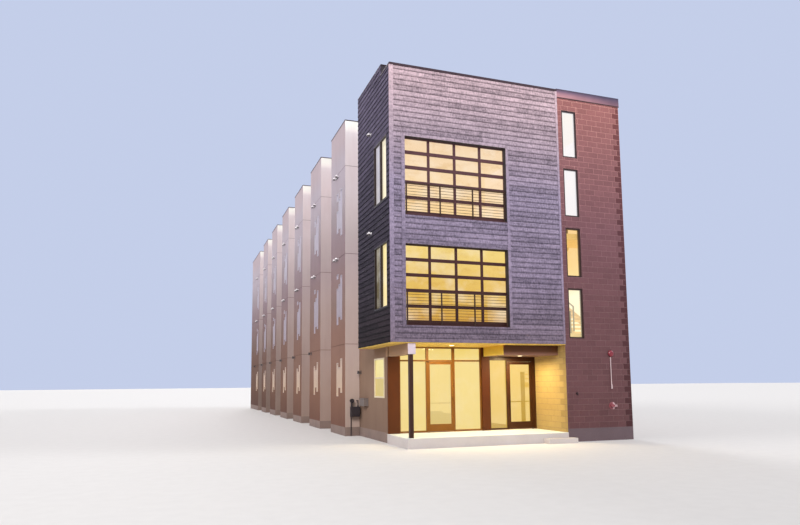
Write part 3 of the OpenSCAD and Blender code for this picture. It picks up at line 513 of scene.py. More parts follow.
@dataclass(frozen=True)
class Stucco(Finish):
    """Fine sand-finished stucco, a little streaked outside, and plastered inside, where it glows
    with painted light.

    The steps between the bays face the street and have their own stops, if given: brighter ones as
    painted light, with a painted highlight on the nearest bay.
    """

    stops: Stops
    stain: Colour = (0.82, 0.78, 0.78)
    far_low_painted_shade: float = 0.0
    front: Stops = ()
    near_bay_painted_light: Colour = (1.13, 1.17, 1.18)
    joint: float = 3.537
    joint_pitch: float = 3.68
    joint_half: float = 0.011

    def stepped(self, g: Graph, colour: Sock) -> Sock:
        """Gives the faces that look to the street their own colours, brighter as painted light, and
        the nearest step a painted highlight.

        Args:
            g: The material's graph.
            colour: The colour of the long faces.

        Returns:
            The colour of both.
        """
        x, y = g.place("X"), g.place("Y")
        steps = (y - L.row_start + 0.01).wrap(L.bay_pitch) < 0.02
        steps = steps * (abs(x) < L.face - 0.002)
        colour = g.mix(steps, colour, g.levels(self.front))
        return g.shade(colour, self.near_bay_painted_light, steps * (y < L.row_start + 0.5))

    def paint(self, g: Graph) -> None:
        """Mixes clouds, rain streaks, splash stains, joints and sand, with painted shade low down
        towards the far end of the row.

        Args:
            g: The material's graph.
        """
        y, z = g.place("Y"), g.place("Z")
        clouds = g.noise(0.5, 4.0, rough=0.6)
        streaks = g.noise(1.0, 3.0, g.scaled(3.0, 3.0, 0.35), 0.6)
        sand = g.noise(260.0, 2.0)
        low = 1 - z.ramp(0.0, 1.6)
        share = clouds.ramp(0.35, 0.75) * 0.4 + streaks.ramp(0.45, 0.8) * 0.35 + low * 0.2
        colour = g.levels(self.stops)
        if self.front:
            colour = self.stepped(g, colour)
        colour = g.shade(colour, self.stain, share.least(1.0))
        joint = abs((z - self.joint).wrap(self.joint_pitch) - 0.1) < self.joint_half
        colour = g.shade(colour, (0.66, 0.62, 0.62), joint)
        # Painted shade: the walls darken low down towards the far end of the row.
        if self.far_low_painted_shade:
            far = y.ramp(L.row_start + 2.0, L.row_end - 8.0)
            colour = g.shade(colour, UNLIT, far * (1 - z.ramp(3.5, 8.5)) * self.far_low_painted_shade)
        g.finish(Roughness=sand.ramp(0.2, 0.8, 0.8, 0.95), Specular_IOR_Level=0.15,
                 Normal=g.bump(sand, 0.35, 0.002), **Rooms.ROW.light(g, colour))


@dataclass(frozen=True)
class Blocks(Finish):
    """Ground concrete blocks: each has its own tone, with a fine aggregate."""

    stops: Stops
    contrast: float

    def paint(self, g: Graph) -> None:
        """Mixes the blocks' tones with pits, grit and clouds.

        Args:
            g: The material's graph.
        """
        grit = g.noise(120.0, 3.0, rough=0.7)
        pits = g.noise(14.0, 2.0, rough=0.7)
        share = g.attribute("tone") * 0.3 + pits * 0.7 + grit * 0.2 + g.noise(1.2, 3.0) * 0.3
        colour = g.tint(g.levels(self.stops), (1 - self.contrast,) * 3, (1 + self.contrast,) * 3,
                        (share - 0.25).ramp(0.1, 0.9))
        g.finish(Base_Color=colour, Roughness=grit.ramp(0.2, 0.8, 0.75, 0.95),
                 Specular_IOR_Level=0.2, Normal=g.bump(grit + pits * 0.5, 0.4, 0.003))


@dataclass(frozen=True)
class Mineral(Finish):
    """Concrete, mortar or roofing: clouds, pores and a matt face, and plaster inside that glows
    with painted light.
    """

    stops: Stops
    stain: Colour = (0.72, 0.70, 0.72)
    pore_scale: float = 45.0
    lit: Rooms | None = None
    seam: float = 0.0

    def paint(self, g: Graph) -> None:
        """Mixes clouds and pores, with seams between sheets of roofing.

        Args:
            g: The material's graph.
        """
        clouds = g.noise(1.4, 5.0, rough=0.65)
        pores = g.noise(self.pore_scale, 3.0, rough=0.7)
        share = (clouds * 0.8 + pores * 0.3).ramp(0.35, 0.8)
        colour, height = g.shade(g.levels(self.stops), self.stain, share), pores
        if self.seam:
            strip = abs((g.place("Y") / self.seam).wrap(1.0) - 0.5).ramp(0.482, 0.49)
            colour, height = g.shade(colour, (0.7, 0.7, 0.7), strip), pores * 0.3 + strip
        # Faces in the rooms take the rooms' painted glow.
        look = self.lit.light(g, colour) if self.lit else {"Base_Color": colour}
        g.finish(Roughness=pores.ramp(0.2, 0.8, 0.75, 0.95),
                 Normal=g.bump(height, 0.4, 0.003), **look)


@dataclass(frozen=True)
class Coated(Finish):
    """Powder-coated or painted metal with faint mottling and dust.

    Each zone gives the colours beyond a place along the front: most are lit and shaded copies of
    one paint, as painted light and shade; the fire connection's pale spout is a second paint.
    """

    stops: Stops
    wear: Colour = (1.35, 1.35, 1.35)
    rough: float = 0.42
    coat: float = 0.0
    paint_and_shade_zones: tuple[tuple[float, Stops], ...] = ()

    def paint(self, g: Graph) -> None:
        """Mixes the colours of each zone with dust and orange peel.

        Args:
            g: The material's graph.
        """
        dust = g.noise(2.2, 4.0, rough=0.6)
        colour = g.levels(self.stops)
        for edge, stops in self.paint_and_shade_zones:
            colour = g.mix(g.place("X") > edge, colour, g.levels(stops))
        g.finish(Base_Color=g.shade(colour, self.wear, dust.ramp(0.4, 0.8) * 0.6),
                 Roughness=dust.ramp(0.2, 0.9, self.rough - 0.08, self.rough + 0.14),
                 Specular_IOR_Level=0.25, Coat_Weight=self.coat, Coat_Roughness=0.12,
                 Normal=g.bump(g.noise(420.0, 1.0), 0.12, 0.0006))


def metal(name: str, colour: Colour, rough: float = 0.42) -> Coated:
    """A coated metal of one colour."""
    return Coated(name, even(colour), rough=rough)


@dataclass(frozen=True)
class Sheen(Finish):
    """Bent sheet metal with a painted sheen: its colour shifts from a light end of the front to a
    dark one.
    """

    left: Stops
    right: Stops
    lo: float
    hi: float

    def paint(self, g: Graph) -> None:
        """Mixes the two ends' colours, a painted sheen, with dust.

        Args:
            g: The material's graph.
        """
        dust = g.noise(2.2, 4.0, rough=0.6)
        share = g.place("X").ramp(self.lo, self.hi)
        colour = g.mix(share, g.levels(self.left), g.levels(self.right))
        colour = g.shade(colour, (1.2, 1.2, 1.2), dust.ramp(0.4, 0.8))
        g.finish(Base_Color=colour, Roughness=dust.ramp(0.2, 0.9, 0.4, 0.55),
                 Specular_IOR_Level=0.25)


@dataclass(frozen=True)
class FloodPaint(Finish):
    """White flood heads on a dark bracket, with painted shade below."""

    white: Colour = (0.86, 0.82, 0.84)
    dark: Colour = (0.10, 0.08, 0.085)
    middle: float = 1.35
    bracket: float = 0.10
    under: float = 0.05

    def paint(self, g: Graph) -> None:
        """Picks the bracket, and the underside in painted shade, by place.

        Args:
            g: The material's graph.
        """
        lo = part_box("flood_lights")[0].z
        bay = (g.place("Y") - L.row_start).wrap(L.bay_pitch)
        # Painted shade: the lowest few centimetres of each pair of heads darken.
        low = (g.place("Z") - lo).wrap(L.floor_3 - L.floor_2) < self.under
        held = (abs(bay - self.middle) < self.bracket).most(low)
        colour = g.shade(g.mix(held, self.white, self.dark), (0.9, 0.9, 0.9), g.noise(30.0, 2.0))
        g.finish(Base_Color=colour, Roughness=0.45)


@dataclass(frozen=True)
class SashWindow(Finish):
    """A white-painted sash window whose panes lie behind its frame and glow with painted room
    light.
    """

    paint_colour: Colour
    pane: Stops
    pane_depth: float = 0.028

    def paint(self, g: Graph) -> None:
        """Picks the panes by their depth behind the wall's face.

        Args:
            g: The material's graph.
        """
        dust = g.noise(3.0, 4.0, rough=0.6)
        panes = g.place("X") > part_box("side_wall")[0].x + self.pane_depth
        colour = g.shade(self.paint_colour, (0.85, 0.85, 0.85), dust.ramp(0.4, 0.8))
        # Painted light: the panes emit the room's glow.
        g.finish(Base_Color=g.mix(panes, colour, (0.05, 0.05, 0.04)),
                 Roughness=dust.ramp(0.2, 0.9, 0.3, 0.5),
                 Emission_Color=g.mix(panes, UNLIT, g.levels(self.pane)),
                 Emission_Strength=0.95)


@dataclass(frozen=True)
class Plank(Finish):
    """Soffit boards that run along the row, with grooves between them."""

    colour: Colour
    grain: Colour
    width: float

    def paint(self, g: Graph) -> None:
        """Mixes grain and each board's tone, with dark grooves.

        Args:
            g: The material's graph.
        """
        across = g.place("X") / self.width
        groove = abs(across.wrap(1.0) - 0.5).ramp(0.46, 0.5)
        figure = g.noise(1.0, 4.0, g.scaled(40.0, 3.0, 40.0), 0.6)
        tone = g.node("ShaderNodeTexWhiteNoise", {"noise_dimensions": "1D"}, None, across.floor())
        colour = g.mix((figure * 0.7 + tone * 0.5).ramp(0.3, 0.95), self.colour, self.grain)
        g.finish(Base_Color=g.shade(colour, (0.3, 0.3, 0.3), groove),
                 Roughness=figure.ramp(0.2, 0.9, 0.45, 0.7),
                 Normal=g.bump(figure * 0.2 - groove, 0.5, 0.004))


@dataclass(frozen=True)
class Lining(Finish):
    """Stair steel, landings and boards in the rooms, which glow with painted light of their own."""

    colour: Colour
    grain: Colour
    glow: float

    def paint(self, g: Graph) -> None:
        """Mixes the colour with its grain and lets it glow as painted light.

        Args:
            g: The material's graph.
        """
        figure = g.noise(1.0, 3.0, g.scaled(3.0, 24.0, 24.0), 0.6)
        colour = g.mix(figure.ramp(0.3, 0.75), self.colour, self.grain)
        # Painted light: the parts emit their own colour.
        g.finish(Base_Color=colour, Roughness=figure.ramp(0.2, 0.9, 0.5, 0.75),
                 Emission_Color=colour, Emission_Strength=self.glow,
                 Normal=g.bump(figure, 0.2, 0.002))


@dataclass(frozen=True)
class Glass(Finish):
    """Float glass whose own glow paints the lit room behind it, or a lamp's light, with a faint
    cloudy painted reflection in it.
    """

    stops: Stops
    share: float
    glow: float
    painted_reflection: Colour = (1.0, 0.96, 0.9)
    reflection_share: float = 0.35

    def colour(self, g: Graph) -> Sock:
        """The pane's colour by height."""
        return g.levels(self.stops)

    def cover(self, g: Graph) -> Sock | float:
        """How much of the pane's own colour hides the room behind it."""
        return self.share

    def paint(self, g: Graph) -> None:
        """Veils the painted glow with a cloudy painted reflection, less at street level.

        Args:
            g: The material's graph.
        """
        clouds = g.noise(1.1, 3.0, rough=0.6)
        reflection_mask = clouds.ramp(0.46, 0.68) * g.place("Z").ramp(3.1, 3.6, 0.25, 1.0)
        colour = g.mix(reflection_mask * self.reflection_share, self.colour(g), self.painted_reflection)
        # Painted light: the pane emits the room's glow and the reflection.
        g.finish(Base_Color=(0.02, 0.02, 0.02), Roughness=0.05, Alpha=self.cover(g),
                 Specular_IOR_Level=0.15, Emission_Color=colour,
                 Emission_Strength=self.glow, Normal=g.bump(clouds, 0.05, 0.002))


@dataclass(frozen=True)
class WindowGlass(Glass):
    """The front's panes, whose colours are painted room light and reflections: big windows and
    doors by height, with the side and tower panes apart.
    """

    # Painted light and reflection: the side windows' near panes glow, their far panes show a dark
    # and pale reflection, the entry's panes glow ochre and the tower's panes paint the lit stair.
    side_near: Stops = ((4.4, (1.0, 0.80, 0.36)), (7.0, (1.0, 0.84, 0.42)),
                        (7.6, (1.0, 0.92, 0.66)), (10.4, (1.0, 0.90, 0.68)))
    side_far: Stops = ((4.4, (0.14, 0.11, 0.06)), (6.7, (0.24, 0.20, 0.12)),
                       (7.6, (0.58, 0.54, 0.56)), (10.4, (0.70, 0.66, 0.76)))
    side_middle: float = 1.03
    tower: Stops = (
        (3.5, (0.94, 0.84, 0.50)), (5.4, (0.96, 0.92, 0.78)), (5.6, (0.82, 0.62, 0.26)),
        (7.6, (0.66, 0.40, 0.12)), (7.8, (0.87, 0.86, 0.90)), (12.0, (0.93, 0.92, 0.94)))
    entry: Stops = ((0.3, (0.68, 0.42, 0.05)), (2.6, (0.79, 0.49, 0.07)),
                    (3.4, (0.79, 0.49, 0.07)))
    glow_shade: Colour = (0.84, 0.74, 0.58)
    store_share: float = 0.9
    left_share: float = 0.48
    door_share: float = 0.45
    stair_top: float = 7.65
    first_flights: float = 5.5
    flights_share: float = 0.22
    tower_share: float = 0.12

    def colour(self, g: Graph) -> Sock:
        """The pane's colour by height and by wall.

        Args:
            g: The material's graph.

        Returns:
            The colour.
        """
        x, y, z = g.axes()
        side = g.mix(y > L.street + self.side_middle, g.levels(self.side_near),
                     g.levels(self.side_far))
        # Painted shade: darker cloudy patches in the big windows' glow.
        glow_shade_noise = g.noise(2.2, 4.0, g.scaled(0.8, 0.8, 1.6), 0.65)
        front = g.shade(g.levels(self.stops), self.glow_shade, glow_shade_noise.ramp(0.5, 0.75) * (z > L.soffit))
        colour = g.mix(x < L.left + L.box_wall, front, side)
        entry = (x > L.column_right) * (y > L.store_face) * (z < L.soffit)
        colour = g.mix(entry, colour, g.levels(self.entry))
        return g.mix(x > L.box_right, colour, g.levels(self.tower))

    def cover(self, g: Graph) -> Sock:
        """Clearer by the stair and at the doors than in the big windows.

        Args:
            g: The material's graph.

        Returns:
            How much of the pane's own colour hides the room behind it.
        """
        x, z = g.place("X"), g.place("Z")
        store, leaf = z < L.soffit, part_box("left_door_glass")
        share = store.choose(self.share, self.store_share)
        share = ((x > L.column_right) * store).choose(share, self.door_share)
        share = ((x > leaf[0].x) * (x < leaf[1].x) * store).choose(share, self.left_share)
        tower = (z > self.first_flights).choose(self.flights_share, self.tower_share)
        return ((x > L.box_right) * (z < self.stair_top)).choose(share, tower)


# Painted light: the stucco grows brighter with height; the faces to the street are a lit copy of
# the darker long faces, and the highest stops paint the glow of uplights under the coping.
STUCCO_SIDE_PAINTED_LIGHT: Stops = (
    (0.0, (0.157, 0.076, 0.054)), (1.8, (0.226, 0.117, 0.079)), (3.2, (0.242, 0.137, 0.103)),
    (4.2, (0.241, 0.136, 0.107)), (5.4, (0.231, 0.156, 0.137)), (6.4, (0.255, 0.171, 0.169)),
    (7.1, (0.256, 0.183, 0.195)), (8.2, (0.286, 0.217, 0.239)), (9.2, (0.332, 0.280, 0.303)),
    (10.0, (0.395, 0.344, 0.389)), (10.6, (0.439, 0.382, 0.436)), (11.4, (0.455, 0.403, 0.458)),
    (12.2, (0.480, 0.399, 0.434)))
STUCCO_FRONT_PAINTED_LIGHT: Stops = (
    (0.0, (0.361, 0.263, 0.222)), (1.8, (0.430, 0.320, 0.272)), (3.2, (0.457, 0.349, 0.315)),
    (5.4, (0.487, 0.386, 0.363)), (7.1, (0.484, 0.395, 0.398)), (8.2, (0.515, 0.439, 0.438)),
    (9.2, (0.575, 0.488, 0.492)), (10.0, (0.614, 0.531, 0.540)), (11.4, (0.675, 0.585, 0.590)),
    (12.2, (0.704, 0.631, 0.644)), (12.4, (0.748, 0.682, 0.695)), (12.55, (0.898, 0.851, 0.826)),
    (12.7, (0.920, 0.918, 0.862)))


class Finishes:
    """Every finish of the row: added pieces wear those that are kept, and solids the rest."""

    def __init__(self) -> None:
        """Builds the finishes of the added pieces."""
        foot, top = L.box_foot, L.high_top
        # Colours by height, brighter towards the top: painted light, partly sun bleaching of the
        # boards and blocks. The entry blocks are brightest at 2.9 m, a painted pool of the entry
        # lamps' light, and darker again under the soffit.
        front = ((foot, (0.162, 0.126, 0.168)), (5.5, (0.212, 0.172, 0.248)),
                 (8.5, (0.270, 0.225, 0.318)), (10.6, (0.37, 0.288, 0.345)),
                 (12.2, (0.505, 0.375, 0.42)))
        side = ((foot, (0.020, 0.013, 0.015)), (7.5, (0.038, 0.031, 0.047)),
                (10.5, (0.080, 0.067, 0.105)), (top, (0.116, 0.096, 0.15)))
        tower = ((L.tower_foot, (0.108, 0.048, 0.051)), (4.5, (0.135, 0.062, 0.070)),
                 (7.5, (0.172, 0.079, 0.094)), (10.0, (0.245, 0.108, 0.115)),
                 (L.tower_top, (0.345, 0.140, 0.135)))
        entry = ((0.3, (0.37, 0.265, 0.107)), (1.2, (0.39, 0.268, 0.10)),
                 (2.9, (0.47, 0.335, 0.13)), (3.4, (0.37, 0.245, 0.095)))
        beam = ((2.9, (0.36, 0.235, 0.155)), (3.4, (0.31, 0.20, 0.135)))
        self.front_boards = Boards("weathered_front_boards_painted_light", front, contrast=0.5, lap=0.55,
                                   foot=foot + StreetBox.foot_band, top=L.box_top).on()
        self.side_boards = Boards("slate_side_boards", side, Side.WEST, foot, L.box_top,
                                  contrast=0.55, lap=0.8).on()
        self.trim = Boards("weathered_trim_painted_light", scaled(front, (1.08,) * 3), contrast=0.4,
                           lap=0.0).on()
        self.beam_stucco = Stucco("beam_stucco", beam, (0.9, 0.88, 0.88)).on()
        self.blocks = Blocks("ground_blocks", tower, 0.2).on()
        self.quoins = Blocks("dark_end_blocks", scaled(tower, (0.56, 0.46, 0.48)), 0.12).on()
        self.entry_blocks = Blocks("entry_blocks", entry, 0.10).on()
        self.entry_quoins = Blocks("entry_end_blocks", scaled(entry, (0.8,) * 3), 0.10).on()
        self.dark_metal = metal("dark_trim_metal", (0.055, 0.032, 0.040)).on(
            "parapet_coping", "door_pivots")
        self.beam_end = metal("beam_end_paint", (0.57, 0.48, 0.54), 0.6).on()

    def dress_solids(self) -> None:
        """Gives every solid that shows its finish."""
        self.walls()
        self.metalwork()
        self.inside()
        self.glazing()
        self.fittings()

    @staticmethod
    def walls() -> None:
        """Finishes the walls, footings, slab and floors."""
        Stucco("sand_stucco", STUCCO_SIDE_PAINTED_LIGHT, far_low_painted_shade=0.42, front=STUCCO_FRONT_PAINTED_LIGHT).on(
            "bay_walls", "bay_returns", "recess_walls", "rear_wall", "upper_parapet")
        Stucco("entry_stucco", ((0.3, (0.20, 0.13, 0.095)), (2.0, (0.24, 0.155, 0.11)),
                                (3.4, (0.24, 0.155, 0.11)))).on("side_wall")
        Mineral("sheathing", ((L.box_foot, (0.03, 0.024, 0.03)),
                              (L.high_top, (0.05, 0.04, 0.05))), lit=Rooms.BOX).on(
            "wood_front_wall", "wood_side_wall", "wood_back_return")
        # The mortar grows paler upward with the blocks: painted light.
        mortar = ((L.tower_foot, (0.20, 0.115, 0.115)), (4.5, (0.25, 0.135, 0.14)),
                  (7.5, (0.39, 0.205, 0.22)), (10.0, (0.67, 0.34, 0.33)),
                  (L.tower_top, (0.98, 0.52, 0.46)))
        Mineral("pale_mortar", mortar, (0.45, 0.42, 0.42), 8.0, Rooms.TOWER).on(
            "tower_front_wall", "tower_side_wall", "tower_back_wall", "tower_inner_wall")
        Mineral("cast_concrete", ((0.0, (0.128, 0.085, 0.094)),
                                  (0.6, (0.124, 0.084, 0.096)))).on("tower_base")
        Mineral("stucco_footing", ((0.0, (0.22, 0.155, 0.13)),
                                   (0.35, (0.24, 0.17, 0.14)))).on("foundation")
        Mineral("pale_slab", ((0.0, (0.52, 0.47, 0.46)), (0.315, (0.54, 0.50, 0.49)),
                              (0.328, (0.78, 0.82, 0.76)), (0.36, (0.78, 0.82, 0.76))),
                (0.85, 0.83, 0.82)).on("entry_slab")
        Mineral("roof_membrane", even((0.36, 0.35, 0.35)), pore_scale=20.0, lit=Rooms.CEILING,
                seam=2.0).on("roof_decks")
        Mineral("floors", even((0.30, 0.20, 0.10)), lit=Rooms.CEILING).on("floor_2", "floor_3")

    @staticmethod
    def metalwork() -> None:
        """Finishes the tower's cap, frames, panels, beam and post."""
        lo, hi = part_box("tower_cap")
        dark, edge = (0.07, 0.035, 0.04), 0.3
        # Painted shadow: a dark band along the cap's foot; above it the cap is lightest low down
        # and at its left end, a painted sheen.
        painted_shadow_line = ((lo.z, dark), (lo.z + 0.03, dark))
        left = (*painted_shadow_line, (lo.z + 0.04, (0.50, 0.25, 0.27)), (lo.z + 0.14, (0.42, 0.22, 0.26)),
                (hi.z - 0.08, (0.17, 0.11, 0.17)), (hi.z, (0.05, 0.035, 0.06)))
        right = (*painted_shadow_line, (lo.z + 0.04, (0.21, 0.11, 0.145)), (hi.z - 0.1, (0.10, 0.065, 0.11)),
                 (hi.z, (0.045, 0.04, 0.08)))
        Sheen("tower_cap_metal", left, right, lo.x + edge, hi.x - edge).on("tower_cap")
        metal("guard_metal", (0.045, 0.022, 0.014)).on("guard_rails")
        # Painted shade and light: the side windows' frames are a darker, shaded copy, and the big
        # windows' frames grow lighter upward.
        Coated("bronze_frames", ((3.8, (0.020, 0.012, 0.008)), (12.0, (0.035, 0.022, 0.020))),
               paint_and_shade_zones=((L.left + L.box_wall, (
                   (3.8, (0.045, 0.014, 0.011)), (6.9, (0.055, 0.018, 0.016)),
                   (7.4, (0.085, 0.035, 0.038)), (12.0, (0.105, 0.046, 0.052)))),
                   (L.box_right, ((3.4, (0.030, 0.012, 0.010)), (12.0, (0.045, 0.026, 0.030))))
               )).on("window_frames")
        # Painted shade: the frames right of the column are a dark, shaded copy of the lit ones to
        # its left.
        Coated("entry_bronze", ((0.3, (0.17, 0.065, 0.008)), (3.3, (0.20, 0.080, 0.010))),
               paint_and_shade_zones=((L.column_right + 0.02, (
                   (0.3, (0.040, 0.012, 0.002)), (2.8, (0.045, 0.012, 0.002)),
                   (3.3, (0.030, 0.008, 0.001)))),)).on(
            "storefront_frames", "door_headers", "left_door", "right_door")
        Coated("brown_panels", ((0.3, (0.070, 0.016, 0.0)), (3.3, (0.092, 0.021, 0.0))),
               rough=0.5, paint_and_shade_zones=((-2.0, ((0.3, (0.064, 0.014, 0.0)),
                                         (3.3, (0.080, 0.016, 0.0)))),)).on("entry_columns")
        Coated("post_metal", ((0.3, (0.030, 0.010, 0.006)), (2.97, (0.045, 0.016, 0.009)),
                              (2.975, (0.62, 0.50, 0.47)), (3.4, (0.62, 0.50, 0.47))),
               rough=0.45).on("steel_post")
        # Painted light: the beam's west face is lit by painted lamp light, brightest at its foot;
        # its other faces are a dark, shaded copy.
        Coated("brown_beam", ((2.98, (0.80, 0.60, 0.22)), (3.06, (0.70, 0.53, 0.085)),
                              (3.36, (0.60, 0.36, 0.036))), rough=0.5,
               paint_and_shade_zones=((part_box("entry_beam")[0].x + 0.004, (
                   (2.98, (0.24, 0.13, 0.10)), (3.04, (0.20, 0.095, 0.065)),
                   (3.12, (0.095, 0.036, 0.014)), (3.36, (0.055, 0.016, 0.003)))),)).on(
            "entry_beam")
        Coated("slot_frames", ((0.3, (0.56, 0.42, 0.30)), (3.4, (0.50, 0.40, 0.36)),
                               (4.6, (0.36, 0.31, 0.36)), (11.0, (0.52, 0.49, 0.56))),
               (0.85, 0.85, 0.85)).on("slot_window_frames")

    @staticmethod
    def inside() -> None:
        """Finishes the stair and the soffit."""
        Plank("soffit_boards", (0.86, 0.58, 0.11), (0.66, 0.42, 0.075), 0.14).on("front_soffit")
        Lining("stair_steel", (0.05, 0.022, 0.008), (0.08, 0.038, 0.014), 0.1).on(
            "stair_handrails")
        Lining("stringer_paint", (0.42, 0.27, 0.07), (0.50, 0.33, 0.10), 0.5).on(
            "stair_stringers")
        Lining("stair_concrete", (0.52, 0.34, 0.10), (0.62, 0.42, 0.14), 0.6).on(
            "stair_treads", "stair_landings")

    @staticmethod
    def glazing() -> None:
        """Finishes the panes, the white window and the lamps' lenses."""
        # Painted room light: the colours by height that the panes emit.
        window = (
            (0.3, (0.86, 0.66, 0.24)), (2.7, (0.91, 0.71, 0.27)), (3.4, (0.85, 0.61, 0.13)),
            (3.85, (0.52, 0.22, 0.01)), (4.9, (0.74, 0.44, 0.06)), (6.7, (0.90, 0.68, 0.22)),
            (7.4, (0.98, 0.66, 0.28)), (8.6, (0.97, 0.70, 0.40)), (10.3, (0.90, 0.66, 0.44)))
        slot = ((1.3, (0.88, 0.70, 0.42)), (3.4, (0.85, 0.74, 0.62)), (5.0, (0.74, 0.70, 0.74)),
                (11.0, (0.66, 0.66, 0.80)))
        sash = ((1.5, (0.58, 0.43, 0.10)), (2.2, (0.60, 0.45, 0.12)), (2.26, (0.80, 0.66, 0.23)),
                (3.0, (0.85, 0.72, 0.28)))
        WindowGlass("window_glass", window, 0.55, 1.0).on(
            "window_glass", "left_door_glass", "right_door_glass")
        Glass("slot_window_glass", slot, 0.95, 0.9, (0.95, 0.92, 0.95), 0.5).on(
            "slot_window_glass")
        Glass("lamp_lens", even((1.0, 0.88, 0.55)), 1.0, 5.0).on("soffit_lights")
        SashWindow("white_window", (0.72, 0.60, 0.40), sash).on("ground_window")

    @staticmethod
    def fittings() -> None:
        """Finishes the lamps, meters, bell, fire connection and hose bib."""
        FloodPaint("white_lamps").on("flood_lights")
        for name, colour, rough, node in (
                ("dark_lamps", (0.055, 0.045, 0.045), 0.42, "wall_lights"),
                ("black_brass", (0.022, 0.014, 0.016), 0.4, "hose_bib"),
                ("meter_grey", (0.028, 0.021, 0.024), 0.5, "gas_meter"),
                ("meter_box_paint", (0.15, 0.12, 0.11), 0.45, "meter_box")):
            metal(name, colour, rough).on(node)
        bell = ((1.80, (0.56, 0.44, 0.45)), (2.90, (0.56, 0.44, 0.45)),
                (2.92, (0.22, 0.02, 0.035)), (3.06, (0.21, 0.018, 0.03)),
                (3.3, (0.32, 0.05, 0.07)))
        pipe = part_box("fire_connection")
        spout = ((pipe[0].x + pipe[1].x) / 2 + 0.02,
                 ((0.3, (0.56, 0.36, 0.38)), (1.75, (0.56, 0.36, 0.38)), *bell))
        Coated("fire_red", ((0.3, (0.25, 0.06, 0.075)), (1.75, (0.25, 0.06, 0.075)), *bell),
               (0.8, 0.8, 0.8), 0.3, 0.5, (spout,)).on("alarm_bell", "fire_connection")


class Shape:
    """A mesh under construction, in metres in the part's frame."""

    def __init__(self, name: str) -> None:
        """Starts an empty mesh of that name."""
        self.name = name
        self.bm = bmesh.new()
        self.tone = self.bm.verts.layers.float.new("tone")

    def box(self, lo: Point, hi: Point, place: Matrix | None = None, tone: float = 0.5) -> None:
        """Adds a block between two corners.

        Args:
            lo: Its lowest corner.
            hi: Its highest corner.
            place: A transform applied after that.
            tone: What its tone attribute holds.
        """
        size, middle = Vector(hi) - Vector(lo), (Vector(hi) + Vector(lo)) / 2
        matrix = (place or Matrix()) @ Matrix.Translation(middle) @ Matrix.Diagonal((*size, 1.0))
        for vert in bmesh.ops.create_cube(self.bm, size=1.0, matrix=matrix)["verts"]:
            vert[self.tone] = tone

    def chamfer(self, width: float) -> None:
        """Bevels every edge made so far."""
        bmesh.ops.bevel(self.bm, geom=self.bm.edges[:], offset=width, segments=1,
                        affect="EDGES", profile=0.5, material=-1)

    def stand(self, material: Material) -> bpy.types.Object:
        """Turns the mesh into an object of the scene.

        Args:
            material: Its finish.

        Returns:
            The object.
        """
        mesh = bpy.data.meshes.new(self.name)
        self.bm.to_mesh(mesh)
        self.bm.free()
        mesh.materials.append(material)
        made = bpy.data.objects.new(self.name, mesh)
        bpy.context.scene.collection.objects.link(made)
        return made

    def done(self, material: Material, body: str, slot: str) -> None:
        """Turns the mesh into a piece that rides on a body.

        Args:
            material: Its finish.
            body: The body that it rides on.
            slot: Not used.
        """
        bmesh.ops.recalc_face_normals(self.bm, faces=self.bm.faces)
        piece = self.stand(material)
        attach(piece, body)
        log.info("%s: %d faces", self.name, len(piece.data.polygons))


def split(span: Span, gaps: list[Span]) -> list[Span]:
    """Takes the gaps out of a span.

    Args:
        span: Its two ends.
        gaps: Stretches to leave out.

    Returns:
        The stretches that remain, from low to high, less slivers.
    """
    pieces, start = [], span[0]
    for lo, hi in sorted(gaps):
        if lo > start + NIL:
            pieces.append((start, min(lo, span[1])))
        start = max(start, hi)
    if start < span[1] - NIL:
        pieces.append((start, span[1]))
    return [(a, b) for a, b in pieces if b - a > SLIVER]


